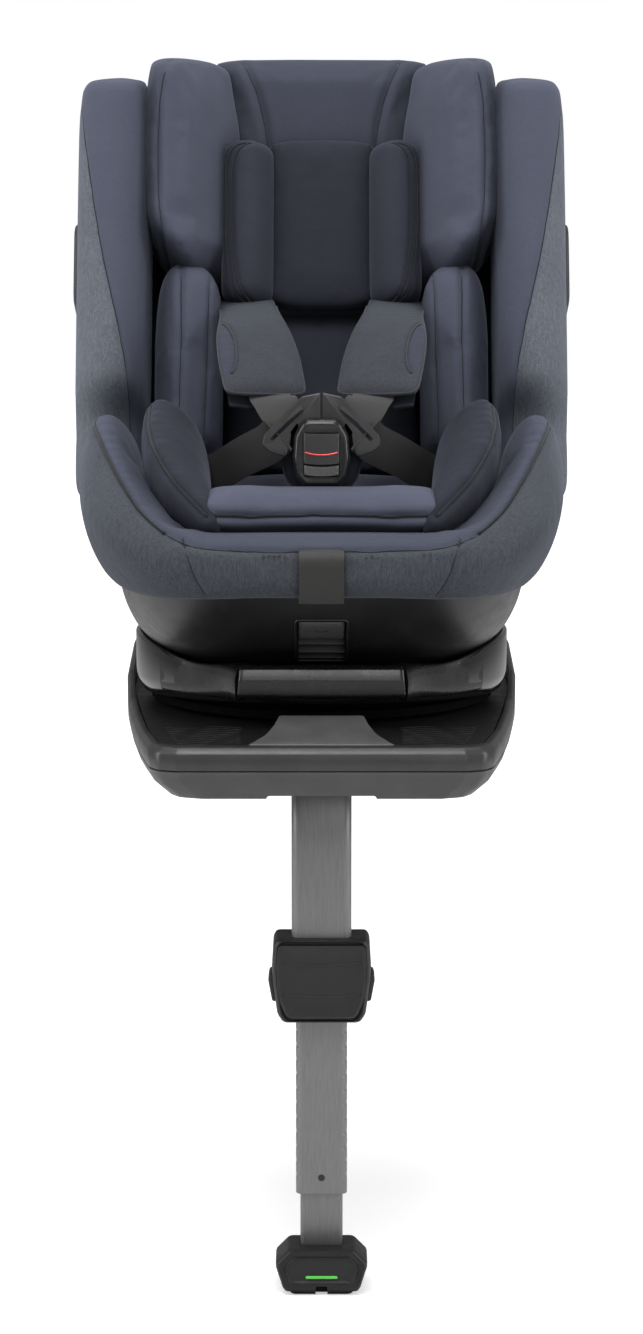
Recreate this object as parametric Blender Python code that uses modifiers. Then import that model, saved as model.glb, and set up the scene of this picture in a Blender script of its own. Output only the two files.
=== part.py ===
"""Convertible child car seat on a swivelling anchored base with a telescopic support leg.

Metres, +Z up. The occupant faces -Y, so -Y is the front. +X is the occupant's left, which is
the right-hand side seen from the front: names ending in "_right" are on +X.
The origin is where the swivel axis meets the plane of the base's underside.
"""

import math

import bmesh
import bpy
from mathutils import Matrix, Vector

for old in list(bpy.data.objects):
    bpy.data.objects.remove(old, do_unlink=True)


def span(half, centre=0.0):
    """The range reaching half to each side of centre."""
    return (centre - half, centre + half)


def widen(limits, by):
    """A range grown at both ends."""
    return (limits[0] - by, limits[1] + by)


# ---------------------------------------------------------------- driving dimensions (metres)
ORIGIN = (0, 0, 0)
SIDES = (-1, 1)
WIDE = span(0.3)  # wider than the whole seat, for intersecting side views
GAP = 0.0004  # clearance between pieces that rest on each other
LOOSE = 0.0005  # clearance round inserted pieces

# base
BASE_FRONT, BASE_REAR = -0.270, 0.250
BASE_HALF_W = 0.1760  # half width at the rear corners
SPLIT_Z = 0.0245  # joint line between lower and upper shell
LIP_Z = 0.044  # top of the front lip
FIN_Z = 0.064  # top of the side and rear rails
FLOOR_Z = 0.004  # floor of the pockets in the lower shell
CHANNEL_HALF = 0.053  # recess under the base that the leg folds into

# swivel and recline
RACE_R = (0.1005, 0.1195)  # inner and outer radius of the bearing faces
SWIVEL_R = 0.1630  # outer radius of the turning cradle
RECLINE_Z = 0.345  # height of the recline centre over the underside, on the swivel axis
TUB_R = 0.285  # radius of the tub's rocker surface
TUB_TOP = 0.163

# backrest frame: a point is (x, s, n), s up along the backrest, n out of it towards the occupant
BIGHT = Vector((0.0, 0.090, 0.205))
BACK_ANGLE = math.radians(22.0)  # from vertical
PANEL_HALF_W = 0.150  # seat frame and seat pan

# support leg; each tube is (width, depth), corner radius
LEG_Y, LEG_Z = -0.200, 0.011  # fold pin
LEG_PIN = (0, LEG_Y, LEG_Z)
UPPER_TUBE, UPPER_CORNER = (0.050, 0.030), 0.0085
MIDDLE_TUBE, MIDDLE_CORNER = (0.043, 0.024), 0.0065
LOWER_TUBE, LOWER_CORNER = (0.0357, 0.0187), 0.0045
TUBE_WALL = 0.002  # upper and middle tube
LOWER_WALL = 0.00185
SOLE_Z = -0.432

# harness
WEB = 0.038  # webbing width
WEB_T = 0.0016

# ISOFIX
ANCHOR_X = 0.140  # half of the 280 mm anchor spacing
ARM_HALF_W = 0.009
ARM_Z = (0.0125, 0.0245)

# ---------------------------------------------------------------- scene and materials
seat_collection = bpy.data.collections.new("convertible_car_seat")
cutter_collection = bpy.data.collections.new("cutters")
bpy.context.scene.collection.children.link(seat_collection)
bpy.context.scene.collection.children.link(cutter_collection)


def material(name, rgb, roughness, metallic=0.0):
    made = bpy.data.materials.new(name)
    made.use_nodes = True
    bsdf = made.node_tree.nodes["Principled BSDF"]
    bsdf.inputs["Base Color"].default_value = (*rgb, 1.0)
    bsdf.inputs["Roughness"].default_value = roughness
    bsdf.inputs["Metallic"].default_value = metallic
    made.diffuse_color = (*rgb, 1.0)
    return made


NAVY = material("navy_knit", rgb=(0.070, 0.080, 0.115), roughness=0.9)
HEATHER = material("heather_fabric", rgb=(0.072, 0.082, 0.105), roughness=0.95)
SHELL_GREY = material("grey_plastic", rgb=(0.075, 0.075, 0.078), roughness=0.5)
BLACK = material("black_plastic", rgb=(0.012, 0.012, 0.013), roughness=0.35)
DECK = material("deck_black", rgb=(0.010, 0.010, 0.010), roughness=0.6)
WEBBING = material("webbing", rgb=(0.020, 0.020, 0.020), roughness=0.8)
ALU = material("grey_anodised", rgb=(0.22, 0.22, 0.225), roughness=0.45, metallic=0.6)
STEEL = material("steel", rgb=(0.55, 0.55, 0.56), roughness=0.35, metallic=1.0)
COLLAR = material("collar_plastic", rgb=(0.035, 0.036, 0.038), roughness=0.5)
BUCKLE = material("buckle_plastic", rgb=(0.030, 0.030, 0.032), roughness=0.4)
RED = material("red_button", rgb=(0.55, 0.02, 0.02), roughness=0.4)
GREEN = material("green_indicator", rgb=(0.05, 0.60, 0.04), roughness=0.4)
RUBBER = material("rubber", rgb=(0.02, 0.02, 0.02), roughness=0.9)
FOAM = material("structural_foam", rgb=(0.05, 0.05, 0.055), roughness=0.85)


# ---------------------------------------------------------------- modelling helpers
# A solid made without a material is a hidden helper. Cutters run past the surface they open.
def add(name, mesh, mat, origin):
    """Places a mesh whose points are in the world frame, with its origin at the given point."""
    made = bpy.data.objects.new(name, mesh)
    mesh.name = name
    at = Vector(origin)
    mesh.transform(Matrix.Translation(-at))
    made.location = at
    if mat is None:
        cutter_collection.objects.link(made)
        made.hide_render = True
        made.display_type = "WIRE"
    else:
        seat_collection.objects.link(made)
        mesh.materials.append(mat)
    return made


def add_bmesh(name, bm, mat, origin=ORIGIN):
    bmesh.ops.remove_doubles(bm, verts=bm.verts, dist=1e-6)
    bmesh.ops.recalc_face_normals(bm, faces=bm.faces)
    mesh = bpy.data.meshes.new(name)
    bm.to_mesh(mesh)
    bm.free()
    return add(name, mesh, mat, origin)


def evaluated_mesh(source):
    """The mesh of an object with its modifiers applied."""
    bpy.context.view_layer.update()
    graph = bpy.context.evaluated_depsgraph_get()
    return bpy.data.meshes.new_from_object(source.evaluated_get(graph))


def take_bmesh(mesh):
    bm = bmesh.new()
    bm.from_mesh(mesh)
    bpy.data.meshes.remove(mesh)
    return bm


def back_matrix():
    """Columns x, s, n and the bight as origin."""
    c, s = math.cos(BACK_ANGLE), math.sin(BACK_ANGLE)
    turn = Matrix(((1, 0, 0), (0, s, -c), (0, c, s))).to_4x4()
    return Matrix.Translation(BIGHT) @ turn


BACK = back_matrix()
ALONG_FIRST = Matrix(((0, 0, 1), (1, 0, 0), (0, 1, 0))).to_4x4()
ALONG_SECOND = Matrix(((1, 0, 0), (0, 0, -1), (0, 1, 0))).to_4x4()
# how a 2D outline and its extrusion direction lie
PLANES = {
    "X": ALONG_FIRST,  # outline (y, z), along x
    "Y": ALONG_SECOND,  # outline (x, z), along -y
    "Z": Matrix.Identity(4),  # outline (x, y), along z
    "S": BACK @ ALONG_SECOND,  # outline (x, n), along -s
    "XB": BACK @ ALONG_FIRST,  # outline (s, n), along x
}


def at_back(x, s, n):
    return tuple(BACK @ Vector((x, s, n)))


def prism(name, outline, plane, limits, mat=None, origin=ORIGIN):
    """A flat outline extruded between two limits: a filled 2D curve made into a welded mesh."""
    lo, hi = limits
    if plane in ("Y", "S"):
        lo, hi = -hi, -lo
    curve = bpy.data.curves.new(name, "CURVE")
    curve.dimensions = "2D"
    curve.fill_mode = "BOTH"
    curve.extrude = (hi - lo) / 2
    spline = curve.splines.new("POLY")
    spline.points.add(len(outline) - 1)
    for point, (u, v) in zip(spline.points, outline):
        point.co = (u, v, 0, 1)
    spline.use_cyclic_u = True
    flat = bpy.data.objects.new(name, curve)
    seat_collection.objects.link(flat)
    mesh = evaluated_mesh(flat)
    bpy.data.objects.remove(flat, do_unlink=True)
    bpy.data.curves.remove(curve)
    mesh.transform(PLANES[plane] @ Matrix.Translation((0, 0, (hi + lo) / 2)))
    return add_bmesh(name, take_bmesh(mesh), mat, origin)


def box(name, x_range, y_range, z_range, mat=None, frame=Matrix.Identity(4), origin=ORIGIN):
    """A block between three ranges; in the BACK frame they are the x, s and n ranges."""
    ranges = (x_range, y_range, z_range)
    size = [hi - lo for lo, hi in ranges]
    middle = [(lo + hi) / 2 for lo, hi in ranges]
    bm = bmesh.new()
    bmesh.ops.create_cube(bm, size=1.0)
    place = frame @ Matrix.Translation(middle) @ Matrix.Diagonal((*size, 1.0))
    bmesh.ops.transform(bm, matrix=place, verts=bm.verts)
    return add_bmesh(name, bm, mat, origin)


def rod(name, start, end, radius, mat=None, segments=20, origin=ORIGIN):
    """A round bar between two points."""
    start, end = Vector(start), Vector(end)
    along = end - start
    bm = bmesh.new()
    bmesh.ops.create_cone(
        bm, cap_ends=True, radius1=radius, radius2=radius, depth=along.length, segments=segments
    )
    turn = along.to_track_quat("Z", "Y").to_matrix().to_4x4()
    place = Matrix.Translation((start + end) / 2) @ turn
    bmesh.ops.transform(bm, matrix=place, verts=bm.verts)
    return add_bmesh(name, bm, mat, origin)


def pin_rod(name, half, radius, mat=None, segments=20, origin=ORIGIN):
    """A round bar along the leg's fold axis."""
    return rod(name, (-half, LEG_Y, LEG_Z), (half, LEG_Y, LEG_Z), radius, mat, segments, origin)


def turned(name, profile, axis, centre, steps, mat=None):
    """A closed profile of (along, radius) points turned a full circle about X or Z."""
    mesh = bpy.data.meshes.new(name)
    if axis == "X":
        points = [(along, 0, -radius) for along, radius in profile]
    else:
        points = [(radius, 0, along) for along, radius in profile]
    count = len(points)
    mesh.from_pydata(points, [(i, (i + 1) % count) for i in range(count)], [])
    wire = bpy.data.objects.new(name, mesh)
    seat_collection.objects.link(wire)
    screw = wire.modifiers.new("turn", "SCREW")
    screw.axis = axis
    screw.angle = 2 * math.pi
    screw.steps = screw.render_steps = steps
    screw.use_merge_vertices = True
    screw.merge_threshold = 0.00001
    made = evaluated_mesh(wire)
    bpy.data.objects.remove(wire, do_unlink=True)
    made.transform(Matrix.Translation(centre))
    return add_bmesh(name, take_bmesh(made), mat)


def turned_ring(name, z_range, radii, mat):
    """A ring of rectangular section about the swivel axis."""
    (low, high), (inner, outer) = z_range, radii
    profile = [(low, inner), (low, outer), (high, outer), (high, inner)]
    return turned(name, profile, "Z", ORIGIN, 40, mat)


def loft(name, rings, mat):
    """A skin through rings of equal point counts, closed by a cap at each end."""
    bm = bmesh.new()
    rows = [[bm.verts.new(p) for p in ring] for ring in rings]
    count = len(rows[0])
    for row, following in zip(rows, rows[1:]):
        for i in range(count):
            j = (i + 1) % count
            bm.faces.new((row[i], row[j], following[j], following[i]))
    bm.faces.new(rows[0])
    bm.faces.new(rows[-1])
    return add_bmesh(name, bm, mat)


def ribbon(name, path, across, width, thick, mat):
    """Flat webbing through path points; across is its width direction before squaring up."""
    rings = []
    for i, point in enumerate(path):
        point = Vector(point)
        before = Vector(path[max(0, i - 1)])
        after = Vector(path[min(len(path) - 1, i + 1)])
        along = (after - before).normalized()
        wide = Vector(across)
        wide = (wide - along * wide.dot(along)).normalized()
        deep = along.cross(wide).normalized()
        rings.append([
            tuple(point + wide * (width / 2 * u) + deep * (thick / 2 * v))
            for u, v in ((1, 1), (-1, 1), (-1, -1), (1, -1))
        ])
    return loft(name, rings, mat)


def boolean(target, tool, operation):
    modifier = target.modifiers.new(operation.lower(), "BOOLEAN")
    modifier.operation = operation
    modifier.object = tool
    modifier.solver = "EXACT"
    if not tool.hide_render:
        tool.hide_render = True
        tool.display_type = "WIRE"
        seat_collection.objects.unlink(tool)
        cutter_collection.objects.link(tool)


def cut(target, *tools):
    for tool in tools:
        boolean(target, tool, "DIFFERENCE")


def join(target, *tools):
    for tool in tools:
        boolean(target, tool, "UNION")


def keep(target, tool):
    boolean(target, tool, "INTERSECT")


def bevel(target, width):
    modifier = target.modifiers.new("edge", "BEVEL")
    modifier.width = width
    modifier.segments = 1
    modifier.limit_method = "ANGLE"
    modifier.angle_limit = math.radians(40)
    modifier.use_clamp_overlap = True


def add_left(source):
    """The mirror image of a finished "_right" piece, as its own "_left" object."""
    mesh = evaluated_mesh(source)
    mesh.transform(Matrix.Diagonal((-1, 1, 1, 1)) @ source.matrix_world)
    mesh.flip_normals()
    mesh.materials.clear()
    at = source.location
    name = source.name.replace("_right", "_left")
    add(name, mesh, source.data.materials[0], (-at.x, at.y, at.z))


def round_rect(half_w, half_d, radius, per_corner, centre_y):
    """A rounded rectangle centred on x = 0."""
    points = []
    for sx, sy, start in ((1, 1, 0), (-1, 1, 90), (-1, -1, 180), (1, -1, 270)):
        corner_x = sx * (half_w - radius)
        corner_y = centre_y + sy * (half_d - radius)
        for k in range(per_corner + 1):
            t = math.radians(start + 90 * k / per_corner)
            points.append((corner_x + radius * math.cos(t), corner_y + radius * math.sin(t)))
    return points


def both_sides(half):
    """A symmetric outline from its +X half."""
    return half + [(-x, v) for x, v in reversed(half)]


# ================================================================ BASE (fixed)
# plan of the base, +X half (x, y): narrow front, widening to the rear corners
BASE_HALF = [
    (0.118, BASE_FRONT), (0.134, -0.264), (0.142, -0.250), (0.1535, -0.180), (0.163, -0.100),
    (0.1695, -0.030), (0.1730, 0.030), (BASE_HALF_W, 0.200), (0.1735, 0.230),
    (0.150, BASE_REAR),
]


def base_outline(side, front, rear):
    """Plan outline of the base, inset by the given amounts."""
    return both_sides([
        (x - side, y + (front if y < -0.2 else 0.0) - (rear if y > 0.2 else 0.0))
        for x, y in BASE_HALF
    ])


def base_ring(z, side, front, rear):
    return [(x, y, z) for x, y in base_outline(side, front, rear)]


# lower shell: hollow, leaving a floor, a tunnel over the leg recess and a seat for the bearing
base_lower = loft("base_lower_shell", [
    base_ring(0.0, side=0.018, front=0.010, rear=0.006),
    base_ring(0.012, side=0.006, front=0.003, rear=0.001),
    base_ring(SPLIT_Z, side=0.001, front=0.001, rear=0.0),
], SHELL_GREY)
POCKET_Z = (FLOOR_Z, 0.10)
inner_plan = base_outline(side=0.0235, front=0.016, rear=0.012)
cut(base_lower, prism("hollow_all", inner_plan, "Z", (0.0265, 0.10)))
front_pocket = [  # (x, y), +X side
    (0.100, -0.247), (0.058, -0.247), (0.058, -0.010), (0.1245, -0.010), (0.1245, -0.180),
]
for name, side in (("hollow_left", -1), ("hollow_right", 1)):
    cut(base_lower, prism(name, [(side * x, y) for x, y in front_pocket], "Z", POCKET_Z))
rear_pocket = round_rect(0.1525, 0.114, radius=0.01, per_corner=2, centre_y=0.122)
cut(base_lower, prism("hollow_rear", rear_pocket, "Z", POCKET_Z))
join(base_lower, turned_ring("bearing_seat", (0.002, 0.029), (0.098, 0.122), SHELL_GREY))
channel_side = [  # (y, z)
    (-0.236, -0.02), (-0.236, 0.0240), (-0.165, 0.0240), (-0.055, 0.010),
    (-0.012, 0.010), (-0.012, -0.02),
]
cut(
    base_lower,
    prism("leg_channel", channel_side, "X", span(CHANNEL_HALF)),
    box("front_notch", span(0.046), (-0.30, -0.230), (-0.02, 0.003)),
    pin_rod("pin_hole", 0.0575, 0.0053),
)
for side in SIDES:
    port_x = span(ARM_HALF_W + 0.0025, side * ANCHOR_X)
    cut(base_lower, box(f"arm_port_{side}", port_x, (0.20, 0.30), widen(ARM_Z, 0.002)))

# upper shell: rim with raised side rails and a sloping plate at the front
base_upper = loft("base_upper_shell", [
    base_ring(SPLIT_Z + GAP, side=0.001, front=0.001, rear=0.0),
    base_ring(0.032, side=0.0, front=0.0, rear=0.0),
    base_ring(LIP_Z, side=0.003, front=0.003, rear=0.003),
], SHELL_GREY)
RAIL_INSET = 0.0008
rail_side = [(-0.060, 0.030), (-0.020, LIP_Z), (0.050, FIN_Z), (0.235, FIN_Z), (0.242, 0.030)]
rail = prism("side_rails", rail_side, "X", span(BASE_HALF_W - RAIL_INSET), SHELL_GREY)
rail_plan = base_outline(side=RAIL_INSET, front=0.0, rear=0.004)
keep(rail, prism("rail_outline", rail_plan, "Z", (0.0, 0.2)))
join(base_upper, rail)
opening_half = [  # (x, y)
    (0.110, -0.252), (0.126, -0.244), (0.1335, -0.180), (0.1450, -0.100), (0.1560, -0.030),
    (0.1675, 0.025), (0.1705, 0.200), (0.1680, 0.226), (0.148, 0.240),
]
cut(base_upper, prism("deck_opening", both_sides(opening_half), "Z", (0.0, 0.2)))
plate_side = [  # (y, z)
    (-0.2535, 0.030), (-0.2535, 0.0442), (-0.192, 0.0580), (-0.186, 0.0565),
    (-0.180, 0.0385), (-0.180, 0.030),
]
plate = prism("front_plate", plate_side, "X", span(0.055), SHELL_GREY)
plate_half = [(0.058, -0.27), (0.050, -0.245), (0.036, -0.205), (0.034, -0.175)]  # (x, y)
keep(plate, prism("plate_outline", both_sides(plate_half), "Z", (0.0, 0.1)))
join(base_upper, plate)

# deck panel inside the rim
deck_half = [  # (x, y)
    (0.1085, -0.2505), (0.1245, -0.2425), (0.1320, -0.179), (0.1435, -0.099), (0.1545, -0.030),
    (0.1660, 0.026), (0.1690, 0.199), (0.1665, 0.2245), (0.147, 0.2385),
]
deck = prism("base_deck_panel", both_sides(deck_half), "Z", (0.0385, 0.0425), DECK)
cut(
    deck,
    rod("deck_hole", ORIGIN, (0, 0, 0.1), 0.1235, segments=40),
    box("plate_slot", span(0.0575), (-0.27, -0.1775), (0.0, 0.1)),
)

# fixed bearing race and the leg's fold pin
turned_ring("lower_bearing_race", (0.0295, 0.0372), RACE_R, STEEL)
pin_rod("leg_hinge_pin", 0.057, 0.005, STEEL, origin=LEG_PIN)

# ================================================================ ISOFIX CONNECTORS
# cross bar with an arm running back at each side
BAR_Y = (0.1275, 0.1395)
ARM_END_Y = 0.2600
isofix_frame = box(
    "isofix_frame", span(ANCHOR_X + ARM_HALF_W), BAR_Y, ARM_Z, STEEL,
    origin=(0, sum(BAR_Y) / 2, sum(ARM_Z) / 2),
)
for side in SIDES:
    arm_x = span(ARM_HALF_W, side * ANCHOR_X)
    join(isofix_frame, box(f"arm_{side}", arm_x, (BAR_Y[0], ARM_END_Y), ARM_Z, STEEL))

# connector housing: boxed body, anchor mouth at the rear and a slot for the latch
connector_side = [  # (y, z)
    (0.2525, 0.007), (0.335, 0.007), (0.340, 0.012), (0.340, 0.017), (0.318, 0.0185),
    (0.318, 0.0265), (0.340, 0.028), (0.340, 0.033), (0.333, 0.039), (0.2525, 0.039),
]
LATCH_HALF_W = 0.003
socket_x = span(ARM_HALF_W + LOOSE, ANCHOR_X)
slot_x = span(LATCH_HALF_W + LOOSE, ANCHOR_X)
connector = prism(
    "isofix_connector_right", connector_side, "X", span(0.015, ANCHOR_X), BLACK
)
cut(
    connector,
    box("socket", socket_x, (0.24, ARM_END_Y + LOOSE), widen(ARM_Z, LOOSE)),
    box("latch_slot", slot_x, (0.290, 0.36), (0.010, 0.05)),
)
# the left housing's own cutters are not needed: it is mirrored from the finished right one
add_left(connector)

latch_side = [  # (y, z)
    (0.2925, 0.0305), (0.300, 0.0300), (0.322, 0.0275), (0.3305, 0.0275), (0.3305, 0.0170),
    (0.3365, 0.0175), (0.3375, 0.0290), (0.330, 0.0345), (0.300, 0.0360), (0.2925, 0.0350),
]
latch_pivot = (ANCHOR_X, 0.296, 0.0325)
add_left(prism(
    "isofix_latch_right", latch_side, "X", span(LATCH_HALF_W, ANCHOR_X), STEEL, latch_pivot
))

RELEASE_Y, RELEASE_Z = 0.272, 0.0414  # centre of the release button
add_left(box(
    "isofix_release_right", span(0.009, ANCHOR_X), span(0.010, RELEASE_Y),
    span(0.002, RELEASE_Z), RED, origin=(ANCHOR_X, RELEASE_Y, RELEASE_Z),
))

# ================================================================ TURNTABLE (swivels about Z)
# bearing hub under a wider flat ring, as (z, radius)
RING_Z = (0.0465, 0.0535)
turned("turntable_plate", [
    (0.0380, RACE_R[0]), (RING_Z[0], RACE_R[0]), (RING_Z[0], 0.060), (RING_Z[1], 0.060),
    (RING_Z[1], 0.150), (RING_Z[0], 0.150), (RING_Z[0], RACE_R[1]), (0.0380, RACE_R[1]),
], "Z", ORIGIN, 40, STEEL)

TUB_HALF_W = 0.176
TUB_WALL = 0.004
CORNER_R = 0.178  # radius from the recline axis where the tub's section starts to turn in
# the tub's section as (x, radius about the recline axis), +X half
TUB_HALF = [
    (TUB_HALF_W, 0.160), (TUB_HALF_W, CORNER_R), (0.1735, 0.200), (0.167, 0.222),
    (0.154, 0.243), (0.131, 0.262), (0.098, 0.276), (0.052, 0.284), (0.0, TUB_R),
]


def tub_profile(grow, end_r):
    """The tub's section grown outwards, with both its ends taken to radius end_r."""
    path = []
    for x, radius in TUB_HALF:
        # 0 on the upright side wall, 1 at the lowest point
        lean = min(1.0, max(0.0, (radius - CORNER_R) / (TUB_R - CORNER_R)))
        path.append((x + grow * (1.0 - 0.8 * lean) if x else 0.0, radius + grow * lean))
    half = [(path[0][0], end_r)] + path
    return half + [(-x, radius) for x, radius in reversed(half[:-1])]


# cradle: a drum tapered at the foot and dipped at the front, hollowed to the tub's shape
RECLINE = (0, 0, RECLINE_Z)
CRADLE_FOOT, CRADLE_TOP = 0.0540, 0.106
CRADLE_DIP = 0.012  # scales the drop of the top towards the front
CRADLE_TAPER = 0.97  # foot radius over top radius
cradle = rod(
    "recline_cradle", (0, 0, CRADLE_FOOT), (0, 0, CRADLE_TOP), SWIVEL_R, BLACK, segments=56
)
for vertex in cradle.data.vertices:
    if vertex.co.z > (CRADLE_FOOT + CRADLE_TOP) / 2:
        front = max(0.0, -vertex.co.y / SWIVEL_R)
        vertex.co.z = CRADLE_TOP - CRADLE_DIP * front * front * (3 - 2 * front)
    else:
        vertex.co.x *= CRADLE_TAPER
        vertex.co.y *= CRADLE_TAPER
cut(cradle, turned("tub_void", tub_profile(0.0016, 0.02), "X", RECLINE, 72))

# recline handle: a bar in front of the cradle on two square stems
STEM_X, STEM_Z = 0.052, 0.084
STEM_HALF = 0.0045
POCKET_HALF = STEM_HALF + 0.001
for side in SIDES:
    cut(cradle, box(
        f"stem_pocket_{side}", span(POCKET_HALF, side * STEM_X), (-0.19, -0.1485),
        span(POCKET_HALF, STEM_Z),
    ))
handle_side = [  # (y, z)
    (-0.1685, 0.0745), (-0.1710, 0.0715), (-0.1850, 0.0715), (-0.1910, 0.0765),
    (-0.1910, 0.0900), (-0.1850, 0.0965), (-0.1710, 0.0965), (-0.1685, 0.0940),
]
handle = prism("recline_handle", handle_side, "X", span(0.070), BLACK, (0, -0.180, STEM_Z))
for side in SIDES:
    join(handle, box(
        f"stem_{side}", span(STEM_HALF, side * STEM_X), (-0.173, -0.1550),
        span(STEM_HALF, STEM_Z), BLACK,
    ))

# ================================================================ SEAT BODY (reclines about X)
# tub: a thin-walled rocker, cut flat at the top and opened at the front for the button
tub_out = tub_profile(0.0, 0.176)
tub_in = [(x * (1 - TUB_WALL / TUB_HALF_W), radius - TUB_WALL) for x, radius in tub_out]
for end in (0, -1):  # the two rims keep their radius
    tub_in[end] = (tub_in[end][0], tub_out[end][1])
tub = turned("seat_tub", tub_out + tub_in[::-1], "X", RECLINE, 72, BLACK)
keep(tub, box("tub_cut", WIDE, WIDE, (0.0, TUB_TOP)))
cut(tub, box("button_window", span(0.0235), (-0.26, -0.13), (0.1000, 0.1405)))

rotation_button_side = [  # (y, z)
    (-0.1945, 0.1385), (-0.1770, 0.1220), (-0.1745, 0.1240), (-0.1905, 0.1390),
]
prism(
    "rotation_button", rotation_button_side, "X", span(0.0225), COLLAR, (0, -0.193, 0.1385)
)


def cut_harness_slots(target, prefix):
    """Two long upright slots through a piece of the backrest."""
    for side in SIDES:
        slot = span(0.021, side * 0.045)
        cut(target, box(f"{prefix}_{side}", slot, (0.10, 0.33), span(0.08), frame=BACK))


# structural plate behind the backrest and pan under the cushion
panel_x = span(PANEL_HALF_W)
seat_frame = box("seat_frame", panel_x, (-0.0300, 0.345), (-0.0345, -0.0300), FOAM, BACK)
join(seat_frame, box("pan", panel_x, (-0.212, 0.122), (TUB_TOP + GAP, TUB_TOP + 0.0045), FOAM))
cut_harness_slots(seat_frame, "harness_slot")

# back shell: outer and inner face of its section, +X half (x, n)
shell_outer = [
    (0.2050, 0.020), (0.2050, -0.026), (0.193, -0.0445), (0.167, -0.0545), (0.080, -0.0605),
]
shell_inner = [
    (0.2015, 0.020), (0.2015, -0.024), (0.190, -0.0415), (0.165, -0.0510), (0.080, -0.0570),
]
shell_section = both_sides(shell_outer) + both_sides(shell_inner)[::-1]
shell_side = [  # (s, n)
    (0.150, 0.20), (0.04, 0.035), (0.03, -0.045), (-0.0195, -0.062), (-0.0195, -0.10),
    (0.36, -0.10), (0.374, -0.05), (0.374, 0.01), (0.345, 0.05), (0.30, 0.20),
]
back_shell = prism("back_shell", shell_section, "S", (-0.020, 0.372), SHELL_GREY)
keep(back_shell, prism("shell_side_outline", shell_side, "XB", WIDE))

# --- soft parts: plain closed solids
# seat cushion, with a pocket for the harness adjuster and a groove for its strap
cushion_half = [  # (x, y)
    (0.090, -0.2385), (0.112, -0.2340), (0.119, -0.2260), (0.150, -0.160), (0.150, 0.084),
]
CUSHION_UNDER = TUB_TOP + 0.0050
cushion_side = [  # (y, z)
    (-0.2385, 0.1645), (-0.2385, 0.198), (-0.232, 0.2055), (-0.215, 0.208), (-0.150, 0.2075),
    (0.084, 0.199), (0.084, CUSHION_UNDER), (-0.2125, CUSHION_UNDER), (-0.2145, 0.1645),
]
cushion = prism("seat_cushion", both_sides(cushion_half), "Z", (0.160, 0.30), NAVY)
keep(cushion, prism("cushion_side", cushion_side, "X", WIDE))
cut(
    cushion,
    box("adjuster_pocket", span(0.0205), (-0.2300, -0.1925), (0.190, 0.30)),
    box("strap_groove", span(0.0200), (-0.30, -0.2250), (0.2035, 0.30)),
)

# thigh wings beside the cushion
wing_plan = [  # (x, y)
    (0.1515, 0.028), (0.1515, -0.1605), (0.1210, -0.2265), (0.118, -0.2360),
    (0.135, -0.2400), (0.160, -0.2300), (0.184, -0.2020), (0.200, -0.1560),
    (0.2070, -0.100), (0.2070, -0.040), (0.2005, 0.028),
]
wing_side = [  # (y, z)
    (-0.243, 0.1682), (-0.241, 0.196), (-0.225, 0.2150), (-0.180, 0.2440), (-0.120, 0.2760),
    (-0.060, 0.2920), (-0.010, 0.2940), (0.028, 0.2860), (0.028, 0.1682),
]
wing = prism("thigh_wing_right", wing_plan, "Z", (0.160, 0.40), HEATHER)
keep(wing, prism("wing_side", wing_side, "X", WIDE))
add_left(wing)

# side bolsters of the backrest
bolster_section = [  # (x, n)
    (0.1530, -0.0280), (0.2003, -0.0225), (0.2003, 0.0215), (0.2125, 0.0225),
    (0.2155, 0.060), (0.2140, 0.092), (0.2040, 0.114), (0.1880, 0.1210), (0.1700, 0.116),
    (0.1590, 0.098), (0.1585, 0.0), (0.1530, -0.004),
]
bolster_side = [  # (s, n)
    (-0.016, -0.05), (-0.016, 0.0550), (0.0615, 0.0870), (0.0615, 0.13), (0.330, 0.13),
    (0.352, 0.105), (0.364, 0.06), (0.366, -0.05),
]
bolster = prism("side_bolster_right", bolster_section, "S", (-0.016, 0.362), HEATHER)
keep(bolster, prism("bolster_side", bolster_side, "XB", WIDE))
add_left(bolster)

# backrest pad
backrest = box("backrest_pad", span(0.1515), (0.006, 0.352), (-0.0295, -0.0065), NAVY, BACK)
cut_harness_slots(backrest, "pad_slot")

# torso inserts
torso_section = [  # (x, n)
    (0.0960, -0.004), (0.1500, -0.004), (0.1500, 0.070), (0.1420, 0.088), (0.1250, 0.0930),
    (0.1080, 0.084), (0.0970, 0.060),
]
add_left(prism("torso_insert_right", torso_section, "S", (0.024, 0.184), NAVY))

# seat insert: raised at both sides, slotted for the crotch strap
INSERT_Y = (-0.208, 0.006)
INSERT_UNDER = 0.2085
insert_half = [  # (x, z)
    (0.100, INSERT_UNDER), (0.1330, 0.2340), (0.1495, 0.2640), (0.1500, 0.2950),
    (0.1370, 0.3110), (0.1180, 0.2960), (0.1000, 0.2600), (0.0940, 0.2420),
]
insert_side = [  # (y, z)
    (INSERT_Y[0], INSERT_UNDER), (INSERT_Y[0], 0.228), (-0.190, 0.2440), (-0.135, 0.2700),
    (-0.085, 0.3000), (-0.060, 0.3120), (-0.030, 0.3120), (-0.004, 0.290),
    (INSERT_Y[1], 0.250), (INSERT_Y[1], INSERT_UNDER),
]
insert = prism("seat_insert", both_sides(insert_half), "Y", INSERT_Y, NAVY)
keep(insert, prism("insert_side", insert_side, "X", WIDE))
cut(insert, box("crotch_slot", span(0.0200), (-0.1330, -0.1240), (0.15, 0.30)))

# ================================================================ HARNESS
# crotch strap and its pad
STRAP_FRONT = -0.1292
box("crotch_strap", span(WEB / 2), (STRAP_FRONT, STRAP_FRONT + WEB_T), (0.2088, 0.2800), WEBBING)
crotch_pad_side = [(-0.1300, 0.2435), (-0.1360, 0.2435), (-0.1360, 0.2885), (-0.1300, 0.2885)]
prism("crotch_pad", crotch_pad_side, "X", span(0.0340), NAVY)

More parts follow.
